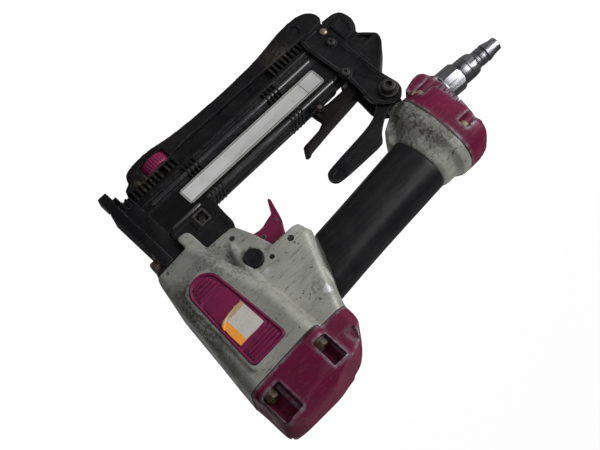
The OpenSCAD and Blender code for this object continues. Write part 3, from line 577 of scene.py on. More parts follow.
class Graph:
    """A short way to add and link shader nodes in one node tree."""

    def __init__(self, tree: Tree) -> None:
        """Takes the node tree to draw in."""
        self.tree = tree

    def add(self, kind: str, inputs: Optional[dict] = None, **settings: object) -> Node:
        """Adds a node.

        Args:
            kind: The node's type without its ShaderNode prefix.
            inputs: Values or sockets for its inputs, by name or place.
            settings: Values set on the node itself.

        Returns:
            The node.
        """
        node = self.tree.nodes.new("ShaderNode" + kind)
        for key, value in settings.items():
            setattr(node, key, value)
        for key, value in (inputs or {}).items():
            if isinstance(value, Socket):
                self.tree.links.new(value, node.inputs[key])
            else:
                node.inputs[key].default_value = value
        return node

    def math(self, operation: str, first: object, second: object = 0.0, clamp: bool = False) -> Socket:
        """Combines two values and returns the result's socket."""
        return self.add("Math", {0: first, 1: second}, operation=operation, use_clamp=clamp).outputs[0]

    def times(self, first: object, second: object, clamp: bool = False) -> Socket:
        """Multiplies two values and returns the result's socket."""
        return self.math("MULTIPLY", first, second, clamp)

    def ramp(self, value: object, low: float, high: float, to_low: float = 0.0, to_high: float = 1.0) -> Socket:
        """Stretches a value between two limits with soft ends."""
        node = self.add(
            "MapRange", {0: value, 1: low, 2: high, 3: to_low, 4: to_high}, interpolation_type="SMOOTHSTEP"
        )
        return node.outputs[0]

    def noise(self, where: object, scale: float, detail: float = 3.0, rough: float = 0.55) -> Socket:
        """Adds a noise pattern and returns its value."""
        inputs = {"Vector": where, "Scale": scale, "Detail": detail, "Roughness": rough}
        return self.add("TexNoise", inputs).outputs["Fac"]

    def blend(self, share: object, first: object, second: object) -> Socket:
        """Mixes two colours by a share and returns the colour."""
        node = self.add("Mix", {0: share, 6: first, 7: second}, data_type="RGBA")
        return node.outputs[2]

    def slide(self, share: object, first: object, second: object) -> Socket:
        """Mixes two values by a share and returns the value."""
        return self.add("Mix", {0: share, 2: first, 3: second}, data_type="FLOAT").outputs[0]


def new_group(name: str, inputs: dict[str, float], outputs: Sequence[str]) -> tuple[Tree, Graph, Node, Node]:
    """Starts a shared effect with named sockets.

    Args:
        name: The group's name.
        inputs: The inputs and their starting values; one named Place is a vector.
        outputs: The outputs, which are all values.

    Returns:
        The group, its graph, its input node and its output node.
    """
    tree = bpy.data.node_groups.new(name, "ShaderNodeTree")
    for key, value in inputs.items():
        kind = "NodeSocketVector" if key in ("Place", "Centre") else "NodeSocketFloat"
        socket = tree.interface.new_socket(name=key, in_out="INPUT", socket_type=kind)
        if kind == "NodeSocketFloat":
            socket.default_value = value
    for key in outputs:
        tree.interface.new_socket(name=key, in_out="OUTPUT", socket_type="NodeSocketFloat")
    graph = Graph(tree)
    return tree, graph, tree.nodes.new("NodeGroupInput"), tree.nodes.new("NodeGroupOutput")


def edge_wear_group() -> Tree:
    """Makes the effect that finds rubbed edges, broken up by noise."""
    tree, g, start, end = new_group("Edge_Wear", {
        "Place": 0.0, "Radius": 0.0015, "Breakup": 260.0, "Amount": 1.0
    }, ["Mask"])
    soft = g.add("Bevel", {"Radius": start.outputs["Radius"]}, samples=6)
    flat = g.add("NewGeometry")
    dot = g.add("VectorMath", {0: soft.outputs[0], 1: flat.outputs["Normal"]}, operation="DOT_PRODUCT")
    turn = g.math("SUBTRACT", 1.0, dot.outputs["Value"])
    mark = g.ramp(turn, 0.004, 0.09)
    patchy = g.add("TexNoise", {"Vector": start.outputs["Place"], "Scale": start.outputs["Breakup"], "Detail": 5.0})
    broken = g.ramp(patchy.outputs["Fac"], 0.36, 0.62, 0.15, 1.0)
    mask = g.times(g.times(mark, broken), start.outputs["Amount"], True)
    g.tree.links.new(mask, end.inputs["Mask"])
    return tree


def scratch_group() -> Tree:
    """Makes the effect of fine scratches that cross in three directions."""
    tree, g, start, end = new_group("Fine_Scratches", {"Place": 0.0, "Scale": 60.0, "Amount": 1.0}, ["Mask"])
    layers = []
    for turn, squeeze in ((0.55, 12.0), (-0.9, 16.0), (1.7, 13.0)):
        bent = g.add("Mapping", {
            "Vector": start.outputs["Place"], "Rotation": (0.2, turn, 0.3 * turn),
            "Scale": (1.0, squeeze * 0.5, squeeze)
        })
        cells = g.add(
            "TexVoronoi", {"Vector": bent.outputs[0], "Scale": start.outputs["Scale"]}, feature="DISTANCE_TO_EDGE"
        )
        line = g.ramp(cells.outputs["Distance"], 0.0, 0.028, 1.0, 0.0)
        gaps = g.add("TexNoise", {"Vector": bent.outputs[0], "Scale": start.outputs["Scale"], "Detail": 1.0})
        layers.append(g.times(line, g.ramp(gaps.outputs["Fac"], 0.54, 0.64)))
    crossed = g.math("MAXIMUM", g.math("MAXIMUM", layers[0], layers[1]), layers[2])
    mask = g.times(crossed, start.outputs["Amount"], True)
    g.tree.links.new(mask, end.inputs["Mask"])
    return tree


def grime_group() -> Tree:
    """Makes the effect of dirt that lies in blotches, with small dark specks."""
    tree, g, start, end = new_group("Grime", {
        "Place": 0.0, "Scale": 45.0, "Amount": 0.5, "Specks": 0.5
    }, ["Mask", "Specks"])
    broad = g.add("TexNoise", {
        "Vector": start.outputs["Place"], "Scale": start.outputs["Scale"], "Detail": 6.0, "Roughness": 0.65,
        "Distortion": 0.6
    })
    mask = g.times(g.ramp(broad.outputs["Fac"], 0.47, 0.75), start.outputs["Amount"], True)
    dots = g.add("TexVoronoi", {"Vector": start.outputs["Place"], "Scale": 420.0, "Randomness": 1.0})
    size = g.add("TexNoise", {"Vector": start.outputs["Place"], "Scale": 130.0, "Detail": 2.0})
    reach = g.times(g.ramp(size.outputs["Fac"], 0.5, 0.75), 0.42)
    spot = g.ramp(g.math("SUBTRACT", reach, dots.outputs["Distance"]), 0.0, 0.08)
    g.tree.links.new(mask, end.inputs["Mask"])
    g.tree.links.new(g.times(spot, start.outputs["Specks"], True), end.inputs["Specks"])
    return tree


def patch_group() -> Tree:
    """Makes the mask of one place with a ragged rim, for rubbed places and for patches of painted shade."""
    tree, g, start, end = new_group("Ragged_Patch", {
        "Place": 0.0, "Centre": 0.0, "Reach": 0.01, "Amount": 1.0
    }, ["Mask"])
    away = g.add("VectorMath", {0: start.outputs["Place"], 1: start.outputs["Centre"]}, operation="DISTANCE")
    near = g.math("DIVIDE", away.outputs["Value"], start.outputs["Reach"])
    ragged = g.math("ADD", near, g.ramp(g.noise(start.outputs["Place"], 190.0, 7.0, 0.7), 0.25, 0.75, -0.55, 0.55))
    mask = g.times(g.ramp(ragged, 0.55, 0.95, 1.0, 0.0), start.outputs["Amount"], True)
    g.tree.links.new(mask, end.inputs["Mask"])
    return tree


def stain_group() -> Tree:
    """Makes the effect of one place where small flakes of dirt and bare metal lie close together."""
    tree, g, start, end = new_group("Stained_Place", {
        "Place": 0.0, "Centre": 0.0, "Reach": 0.01, "Amount": 1.0
    }, ["Mask"])
    away = g.add("VectorMath", {0: start.outputs["Place"], 1: start.outputs["Centre"]}, operation="DISTANCE")
    near = g.ramp(g.math("DIVIDE", away.outputs["Value"], start.outputs["Reach"]), 0.35, 1.0, 1.0, 0.0)
    flakes = g.noise(start.outputs["Place"], 480.0, 8.0, 0.75)
    broad = g.ramp(g.noise(start.outputs["Place"], 75.0, 3.0), 0.35, 0.65, -0.06, 0.06)
    spots = g.ramp(g.math("ADD", flakes, broad), 0.50, 0.60)
    g.tree.links.new(g.times(g.times(near, spots), start.outputs["Amount"], True), end.inputs["Mask"])
    return tree


EDGE_WEAR = edge_wear_group()
SCRATCHES = scratch_group()
GRIME = grime_group()
RAGGED_PATCH = patch_group()
STAINED = stain_group()


def colour(red: float, green: float, blue: float) -> tuple[float, float, float, float]:
    """Gives an opaque linear colour."""
    return (red, green, blue, 1.0)


def grey(value: float) -> tuple[float, float, float, float]:
    """Gives an opaque linear grey."""
    return colour(value, value, value)


@dataclass(frozen=True)
class Patch:
    """One place on a finish: a rub, a stain or a patch of painted shade.

    x, y and z are its middle and reach its radius, in millimetres; amount is its strength.
    """

    x: float
    y: float
    z: float
    reach: float
    amount: float = 1.0


@dataclass(frozen=True)
class Finish:
    """A worn surface: its colours, how it shines, how it has aged, and any painted shade or sheen."""

    name: str
    base: tuple
    shade: tuple
    dirt: tuple = (0.03, 0.025, 0.02, 1.0)
    bare: tuple = (0.45, 0.44, 0.43, 1.0)
    metallic: float = 0.0
    bare_metallic: float = 0.6
    rough: float = 0.45
    rough_spread: float = 0.12
    bare_rough: float = 0.42
    edge: float = 0.0
    edge_radius: float = 1.2
    scratches: float = 0.0
    scratch_scale: float = 60.0
    grime: float = 0.3
    grime_scale: float = 45.0
    specks: float = 0.0
    grain: float = 0.15
    grain_scale: float = 900.0
    dent: float = 0.0
    specular: float = 0.5
    # Painted sheen: how strongly lines along X in the dirt colour stand in for reflection streaks.
    sheen_streaks: float = 0.0
    cuts: float = 0.0
    rubs: tuple[Patch, ...] = ()
    stains: tuple[Patch, ...] = ()
    # Broad darker patches in the soil_and_shade colour: painted shade with some soiling.
    soil_and_shade_patches: tuple[Patch, ...] = ()
    soil_and_shade: tuple = (0.085, 0.086, 0.072, 1.0)

    def group(self, g: Graph, tree: Tree, where: Socket, **values: object) -> Node:
        """Places a shared effect in the material with its own values."""
        node = g.add("Group", node_tree=tree)
        g.tree.links.new(where, node.inputs["Place"])
        for key, value in values.items():
            node.inputs[key].default_value = value
        return node

    def spot(self, g: Graph, tree: Tree, where: Socket, mark: Patch) -> Socket:
        """Gives the mask of one place: a rub, a stain or a patch of painted shade."""
        centre = (mark.x * MM, mark.y * MM, mark.z * MM)
        node = self.group(g, tree, where, Centre=centre, Reach=mark.reach * MM, Amount=mark.amount)
        return node.outputs["Mask"]

    def paint(self, g: Graph, where: Socket) -> Socket:
        """Mixes the undamaged colour and any painted sheen streaks; a special finish draws its pattern here.

        Args:
            g: The material's graph.
            where: Object coordinates.

        Returns:
            The colour.
        """
        cloud = g.ramp(g.noise(where, 35.0, 5.0, 0.6), 0.3, 0.72)
        tone = g.blend(cloud, self.base, self.shade)
        # Painted sheen: noise lines stretched along X blend the tone towards the dirt colour, standing in for
        # reflections that streak along round parts.
        if self.sheen_streaks > 0:
            drawn = g.add("Mapping", {"Vector": where, "Scale": (0.06, 1.0, 1.0)})
            lines = g.ramp(g.noise(drawn.outputs[0], 420.0, 4.0, 0.65), 0.46, 0.64, 0.0, self.sheen_streaks)
            tone = g.blend(lines, tone, self.dirt)
        return tone

    def make(self) -> bpy.types.Material:
        """Builds the material once and returns it on every later call."""
        known = bpy.data.materials.get(self.name)
        if known:
            return known
        material = bpy.data.materials.new(self.name)
        material.use_nodes = True
        tree = material.node_tree
        g = Graph(tree)
        shader = tree.nodes["Principled BSDF"]
        where = g.add("TexCoord").outputs["Object"]
        tone = self.paint(g, where)
        dirt = self.group(g, GRIME, where, Scale=self.grime_scale, Amount=self.grime, Specks=self.specks)
        tone = g.blend(dirt.outputs["Mask"], tone, self.dirt)
        tone = g.blend(dirt.outputs["Specks"], tone, self.dirt)
        # Painted shade with some soiling: broad ragged patches blend the tone towards a darker grey.
        for soil_and_shade in self.soil_and_shade_patches:
            tone = g.blend(self.spot(g, RAGGED_PATCH, where, soil_and_shade), tone, self.soil_and_shade)
        for stain in self.stains:
            tone = g.blend(self.spot(g, STAINED, where, stain), tone, self.dirt)
        if self.cuts > 0:
            dark = self.group(g, SCRATCHES, where, Scale=self.scratch_scale * 0.55, Amount=self.cuts)
            tone = g.blend(dark.outputs["Mask"], tone, self.dirt)
        lines = self.group(g, SCRATCHES, where, Scale=self.scratch_scale, Amount=self.scratches)
        worn = lines.outputs["Mask"]
        if self.edge > 0:
            rim = self.group(g, EDGE_WEAR, where, Radius=self.edge_radius * MM, Amount=self.edge)
            worn = g.math("MAXIMUM", worn, rim.outputs["Mask"])
        for mark in self.rubs:
            worn = g.math("MAXIMUM", worn, self.spot(g, RAGGED_PATCH, where, mark))
        tone = g.blend(worn, tone, self.bare)
        fine = g.noise(where, self.grain_scale, 3.0)
        spread_by = g.ramp(
            g.noise(where, 70.0, 4.0, 0.6), 0.3, 0.7, self.rough - self.rough_spread, self.rough + self.rough_spread
        )
        tree.links.new(tone, shader.inputs["Base Color"])
        tree.links.new(g.slide(worn, spread_by, self.bare_rough), shader.inputs["Roughness"])
        tree.links.new(g.slide(worn, self.metallic, self.bare_metallic), shader.inputs["Metallic"])
        shader.inputs["Specular IOR Level"].default_value = self.specular
        height = g.times(fine, self.grain)
        if self.dent > 0:
            height = g.math("ADD", height, g.times(g.noise(where, 140.0, 2.0), self.dent))
        height = g.math("SUBTRACT", height, g.times(worn, 0.25))
        bump = g.add("Bump", {"Height": height, "Strength": 0.55, "Distance": 0.00022})
        tree.links.new(bump.outputs["Normal"], shader.inputs["Normal"])
        return material


@dataclass(frozen=True)
class RuledPlate(Finish):
    """A white plate with a border, thin rules and one cell at its rear end.

    x0, x1, z0 and z1 are the plate's ends in millimetres, and cell is the width of its rear cell.
    """

    x0: float = 0.0
    x1: float = 1.0
    z0: float = 0.0
    z1: float = 1.0
    cell: float = 14.0

    def paint(self, g: Graph, where: Socket) -> Socket:
        """Draws the border, the rules and the cell on the white ground."""
        axes = g.add("SeparateXYZ", {0: where})
        x = g.math("DIVIDE", axes.outputs[0], MM)
        z = g.math("DIVIDE", axes.outputs[2], MM)

        def line(value: Socket, at: float, half: float) -> Socket:
            """Gives a mask that is 1 on a thin line."""
            return g.math("LESS_THAN", g.math("ABSOLUTE", g.math("SUBTRACT", value, at)), half)

        marks = line(x, self.x0 + 1.1, 0.26)
        for value, at in ((x, self.x1 - 1.1), (z, self.z0 + 1.1), (z, self.z1 - 1.1), (x, self.x0 + self.cell)):
            marks = g.math("MAXIMUM", marks, line(value, at, 0.26))
        pitch = (self.z1 - self.z0 - 3.2) / 5
        for row in range(1, 5):
            rule = line(z, self.z0 + 1.6 + pitch * row, 0.16)
            marks = g.math("MAXIMUM", marks, g.times(rule, 0.25))
        inside = g.times(g.math("GREATER_THAN", x, self.x0 + 0.9), g.math("LESS_THAN", x, self.x1 - 0.9))
        marks = g.times(marks, inside)
        cloud = g.ramp(g.noise(where, 60.0, 4.0), 0.35, 0.75)
        ground = g.blend(cloud, self.base, self.shade)
        level = g.times(g.math("GREATER_THAN", z, self.z0 + 0.8), g.math("LESS_THAN", z, self.z1 - 0.8))
        margin = g.math("SUBTRACT", 1.0, g.times(inside, level))
        ground = g.blend(g.times(margin, 0.7), ground, self.dirt)
        return g.blend(g.times(marks, 0.9), ground, grey(0.04))


@dataclass(frozen=True)
class TornSticker(Finish):
    """A white sticker with an orange band at its front and a browned, peeled lower edge.

    band is the X where the orange starts and peel the Z below which the paper is brown.
    """

    band: float = 0.0
    peel: float = 0.0
    orange: tuple = (0.80, 0.30, 0.03, 1.0)
    paper: tuple = (0.42, 0.30, 0.16, 1.0)

    def paint(self, g: Graph, where: Socket) -> Socket:
        """Lays the orange band and the torn paper over the white ground."""
        axes = g.add("SeparateXYZ", {0: where})
        ragged = g.times(g.math("SUBTRACT", g.noise(where, 300.0, 6.0, 0.7), 0.5), 3.2 * MM)
        front = g.math("GREATER_THAN", axes.outputs[0], self.band * MM)
        low = g.ramp(g.math("ADD", axes.outputs[2], ragged), (self.peel - 0.5) * MM, (self.peel + 0.5) * MM, 1.0, 0.0)
        ground = g.blend(g.ramp(g.noise(where, 80.0, 4.0), 0.4, 0.75), self.base, self.shade)
        ground = g.blend(front, ground, self.orange)
        return g.blend(low, ground, self.paper)


SILVER = Finish(
    "Silver_Casting_Paint", colour(0.30, 0.302, 0.270), colour(0.225, 0.227, 0.200), dirt=colour(0.036, 0.032, 0.027),
    bare=colour(0.50, 0.50, 0.51), metallic=0.2, bare_metallic=0.6, rough=0.42, bare_rough=0.34, edge=0.55,
    edge_radius=1.6, scratches=0.28, grime=0.32, grime_scale=38.0, specks=0.8, grain=0.5, grain_scale=650.0, dent=0.5,
    cuts=1.0,
    rubs=(
        # The first rub lays bare metal on the dial boss's upper slope: wear, and painted highlight where the boss
        # faces the light.
        Patch(-36, -15, 121, 5, 0.7), Patch(-16, -12.5, 80, 4, 0.6), Patch(-31, -15, 92, 3, 0.6),
        Patch(-52, -18, 158, 4, 0.5), Patch(-165, -19, 132, 4, 0.3)
    ),
    # Painted shade with some soiling: broad dark patches on the flange, under its chin, on the front of the block and
    # low on the trigger frame.
    soil_and_shade_patches=(
        Patch(-178, -20, 124, 30, 0.5), Patch(-170, -14, 96, 16, 0.55), Patch(26, -14, 100, 26, 0.5),
        Patch(30, -12, 140, 24, 0.45), Patch(-24, -16, 90, 8, 0.35)
    ),
    stains=(
        Patch(-176, -22, 118, 42, 0.95), Patch(-176, 22, 118, 42, 0.8), Patch(-48, -20, 156, 13, 0.6),
        Patch(-24, -22, 112, 13, 0.5), Patch(-20, -14, 86, 14, 0.8), Patch(-33, -13, 98, 9, 0.7),
        Patch(-43, -16, 108, 8, 0.6), Patch(12, -18, 108, 30, 0.8), Patch(28, -8, 130, 32, 0.7), Patch(0, -20, 160, 12, 0.4),
        Patch(-12, -20, 100, 20, 0.5)
    ),
)
CRIMSON = Finish(
    "Crimson_Paint", colour(0.120, 0.005, 0.030), colour(0.092, 0.005, 0.025), dirt=colour(0.030, 0.010, 0.013),
    bare=colour(0.19, 0.19, 0.22), bare_metallic=0.3, rough=0.46, bare_rough=0.5, edge=1.0, edge_radius=4.2,
    scratches=0.22, scratch_scale=62.0, grime=0.3, specks=0.5, grain=0.3, grain_scale=700.0, dent=0.4, specular=0.14,
    stains=(Patch(24, -12, 190, 18, 0.5), Patch(-26, -20, 190, 14, 0.45), Patch(-198, -14, 96, 10, 0.5)),
)
PAD = Finish(
    "Crimson_Plastic", colour(0.175, 0.010, 0.060), colour(0.14, 0.009, 0.048), dirt=colour(0.035, 0.010, 0.018),
    bare=colour(0.26, 0.12, 0.17), bare_metallic=0.0, rough=0.38, bare_rough=0.45, edge=0.3, edge_radius=0.6,
    scratches=0.25, grime=0.35, grain=0.12, specular=0.25,
)
TRIGGER_RED = Finish(
    "Trigger_Crimson", colour(0.12, 0.006, 0.036), colour(0.10, 0.006, 0.030), dirt=colour(0.04, 0.01, 0.016),
    bare=colour(0.24, 0.18, 0.18), bare_metallic=0.2, rough=0.38, bare_rough=0.5, edge=0.4, edge_radius=0.7,
    scratches=0.25, grime=0.3, grain=0.15, specular=0.18,
)
MAGENTA = Finish(
    "Magenta_Plastic", colour(0.20, 0.007, 0.058), colour(0.15, 0.007, 0.045), dirt=colour(0.04, 0.007, 0.02),
    bare=colour(0.38, 0.14, 0.22), bare_metallic=0.0, rough=0.42, edge=0.25, edge_radius=0.4, grime=0.45, grain=0.1,
    specular=0.35,
)
# Its faint lighter lines along the grip are painted sheen.
RUBBER = Finish(
    "Black_Rubber", colour(0.0050, 0.0050, 0.0060), colour(0.0080, 0.0080, 0.0090), dirt=colour(0.020, 0.020, 0.021),
    bare=colour(0.028, 0.028, 0.030), bare_metallic=0.0, rough=0.38, rough_spread=0.07, bare_rough=0.34, edge=0.2,
    scratches=0.2, grime=0.22, grime_scale=60.0, grain=0.3, grain_scale=1500.0, dent=0.5, specular=0.15, sheen_streaks=0.3,
)
BLACK_METAL = Finish(
    "Black_Coated_Metal", colour(0.0035, 0.0035, 0.0045), colour(0.0065, 0.0065, 0.0075),
    dirt=colour(0.019, 0.016, 0.014), bare=colour(0.11, 0.11, 0.115), bare_metallic=0.5, rough=0.33, bare_rough=0.32,
    edge=0.6, edge_radius=0.9, scratches=0.2, scratch_scale=70.0, grime=0.3, specks=0.3, grain=0.2, grain_scale=800.0,
    dent=0.25, specular=0.13,
)
# A lighter copy of the black coat for the beads: its lighter base and light grey lines along X are painted highlight
# along the beads, with some edge wear.
BEAD_SHEEN_AND_WEAR = replace(
    BLACK_METAL, name="Bead_Coat_Painted_Sheen", base=colour(0.016, 0.016, 0.018), shade=colour(0.008, 0.008, 0.010),
    dirt=colour(0.10, 0.10, 0.102), rough=0.24, specular=0.6, sheen_streaks=0.35, grime=0.15, edge=0.3
)
BLACK_PLASTIC = Finish(
    "Black_Plastic", colour(0.0045, 0.0045, 0.0055), colour(0.0075, 0.0075, 0.0085), dirt=colour(0.028, 0.024, 0.020),
    bare=colour(0.055, 0.055, 0.057), bare_metallic=0.0, rough=0.42, bare_rough=0.4, edge=0.5, edge_radius=0.9,
    scratches=0.25, grime=0.32, specks=0.3, grain=0.4, grain_scale=1100.0, dent=0.3, specular=0.12,
)
DUSTY_PLASTIC = replace(
    BLACK_PLASTIC, name="Dusty_Black_Plastic", dirt=colour(0.075, 0.060, 0.042), grime=0.12, specks=0.2,
    stains=(Patch(-26, -6, 17, 14, 0.6), Patch(-40, -6, 18, 12, 0.5), Patch(-150, -6, 19, 18, 0.4))
)
WORN_LEVER = Finish(
    "Worn_Lever_Coat", colour(0.0038, 0.0034, 0.0036), colour(0.0070, 0.0050, 0.0050),
    dirt=colour(0.018, 0.010, 0.010), bare=colour(0.060, 0.046, 0.044), bare_metallic=0.4, rough=0.36,
    bare_rough=0.36, edge=0.4, edge_radius=0.6, scratches=0.22, grime=0.45, grime_scale=70.0, grain=0.2,
    specular=0.10,
)
STEEL = Finish(
    "Bright_Steel", grey(0.38), grey(0.30), dirt=colour(0.12, 0.10, 0.08),
    bare=grey(0.66), metallic=0.9, bare_metallic=1.0, rough=0.32, edge=0.3, edge_radius=0.4,
    scratches=0.4, grime=0.35, grain=0.15,
)
DARK_STEEL = Finish(
    "Darkened_Steel", colour(0.040, 0.038, 0.037), colour(0.022, 0.021, 0.020), dirt=colour(0.075, 0.042, 0.024),
    bare=colour(0.30, 0.29, 0.28), metallic=0.5, bare_metallic=0.8, rough=0.42, edge=0.9, edge_radius=0.5,
    scratches=0.3, grime=0.45, grime_scale=130.0, specks=0.4, grain=0.4, specular=0.3,
)
# Its dirt colour also paints the dark reflection streaks along the fitting: painted reflection, besides its light
# grime.
CHROME = Finish(
    "Polished_Fitting", colour(0.26, 0.26, 0.28), colour(0.17, 0.17, 0.19), dirt=colour(0.04, 0.04, 0.042),
    bare=colour(0.46, 0.46, 0.48), metallic=1.0, bare_metallic=1.0, rough=0.33, rough_spread=0.04, bare_rough=0.36,
    edge=0.4, edge_radius=0.35, scratches=0.3, scratch_scale=90.0, grime=0.2, grime_scale=110.0, specks=0.2,
    grain=0.03, sheen_streaks=0.8,
)
RUSTY = Finish(
    "Rusty_Steel", colour(0.10, 0.068, 0.05), colour(0.05, 0.038, 0.03), dirt=colour(0.13, 0.055, 0.022),
    bare=colour(0.26, 0.22, 0.19), metallic=0.45, bare_metallic=0.7, rough=0.55, edge=0.5, edge_radius=0.5,
    scratches=0.2, grime=0.55, grime_scale=120.0, specks=0.6, grain=0.8, grain_scale=700.0,
)
DUSTY_SCREW = Finish(
    "Dusty_Screw", colour(0.26, 0.20, 0.12), colour(0.17, 0.13, 0.08), dirt=colour(0.07, 0.05, 0.03),
    bare=colour(0.34, 0.30, 0.24), metallic=0.2, bare_metallic=0.5, rough=0.6, edge=0.4, edge_radius=0.4,
    grime=0.4, grime_scale=150.0, specks=0.5, grain=0.6,
)
BRASS = Finish(
    "Aged_Brass", colour(0.30, 0.26, 0.18), colour(0.20, 0.17, 0.11), dirt=colour(0.09, 0.07, 0.04),
    bare=colour(0.58, 0.50, 0.32), metallic=0.7, bare_metallic=0.9, rough=0.38, edge=0.4, edge_radius=0.4, grime=0.35,
)
GASKET = Finish(
    "Dark_Gasket", colour(0.030, 0.028, 0.027), colour(0.05, 0.046, 0.042), bare=colour(0.09, 0.085, 0.08),
    bare_metallic=0.0, rough=0.7, grime=0.4, grain=0.4, specular=0.2,
)
ALLOY = Finish(
    "Honed_Alloy", colour(0.60, 0.61, 0.62), colour(0.54, 0.55, 0.56), metallic=0.95, bare_metallic=1.0,
    bare=grey(0.7), rough=0.28, scratches=0.3, scratch_scale=120.0, grime=0.12, grain=0.08,
)
LABEL_X = (-158.3, -36.3)
LABEL_Z = (36.55, 49.05)
LABEL = RuledPlate(
    "White_Label", grey(0.50), grey(0.43), dirt=colour(0.20, 0.18, 0.15), bare=grey(0.40),
    bare_metallic=0.2, rough=0.35, edge=0.2, edge_radius=0.3, scratches=0.25, grime=0.2, specks=0.3, grain=0.05,
    x0=LABEL_X[0], x1=LABEL_X[1], z0=LABEL_Z[0], z1=LABEL_Z[1], cell=14.0,
)
STICKER = TornSticker(
    "Torn_Sticker", colour(0.50, 0.49, 0.45), colour(0.42, 0.41, 0.37), dirt=colour(0.16, 0.11, 0.07),
    bare=colour(0.30, 0.22, 0.14), bare_metallic=0.0, rough=0.5, edge=0.4, edge_radius=0.3, scratches=0.35,
    grime=0.35, specks=0.4, grain=0.1, band=6.0, peel=129.8,
)


# ---------------------------- assemblies


@dataclass
class Assembly:
    """A group of pieces that are built, dressed and set on their bodies together."""

    made: list[Piece] = field(default_factory=list)

    def dress(
        self, piece: Piece, finish: Finish, slot: str, *stands_for: str, body: str = "housing", angle: float = 35.0
    ) -> Piece:
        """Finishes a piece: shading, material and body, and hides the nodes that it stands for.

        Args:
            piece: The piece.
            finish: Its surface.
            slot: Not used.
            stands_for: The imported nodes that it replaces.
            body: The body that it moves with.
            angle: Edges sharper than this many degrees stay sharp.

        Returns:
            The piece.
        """
        face_outwards(piece)
        shade(piece, angle)
        piece.data.materials.clear()
        piece.data.materials.append(finish.make())
        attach(piece, body)
        if stands_for:
            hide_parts(*stands_for)
        self.made.append(piece)
        return piece

    def build(self) -> list[Piece]:
        """Builds the pieces and returns them."""
        raise NotImplementedError


CAP_BOLTS = ((19.5, 14.5), (-23, 21))
END_SCREWS = ((17.5, 15), (13.5, -22))
TRIGGER_PIN = (-52, 99.7)
ARM_PIN = (-66.2, 96.5)
DIAL_PLACE = (-35.0, 110.0)
NOSE_PIN = (8, 74)
NOSE_BOLT = (0, 62.5)
CLAMP_BOLT = (-181.4, 85.4)
UPPER_SCREW = (-170.8, 56.2)
LOWER_SCREW = (-180.5, 33)
RIVET = (-183, 23.4)
LEVER_PIN = (-142, 60.4)
GUARD_SCREWS = (-118, -72)
CYLINDER_ROOM = 17.6
UPRIGHT = Matrix.Identity(4)
FACING_DIAL = Matrix.Rotation(math.pi, 4, "X")
WHEEL = shift(-40, 0, 0)
SPRING_PLACE = shift(-30, 5, 0)
HANDLE = tilted(-70.7, 141.1, 4.5)
FLANGE = tilted(-180.4, 127.6, 2.0)
FITTING = shift(-209, 0, 107.3) @ Matrix.Rotation(math.radians(-86.5), 4, "Y")
SEAM = 171.0
CAP_FOOT = 171.8
PAD_PLACE = (
    shift(0, 24.25, 134.5) @ Matrix.Rotation(math.radians(-7.4), 4, "Z")
    @ Matrix.Rotation(math.radians(-1.2), 4, "X") @ shift(0.7, 0, -6)
)


def pad_outline(grow: float) -> list[Point]:
    """Gives the outline of a side pad, grown by a distance."""
    top, low, h = 14.25 + grow, 11.2 + grow, 34 + grow
    arc = [(low * math.cos(math.pi * k / 16), -22.8 - low * math.sin(math.pi * k / 16)) for k in range(17)]
    return [
        (-top, h - 3.6), (-top + 0.6, h - 1.6), (-top + 1.7, h - 0.5), (3.6 - top, h), (top - 3.6, h),
        (top - 1.7, h - 0.5), (top - 0.6, h - 1.6), (top, h - 3.6)
    ] + arc


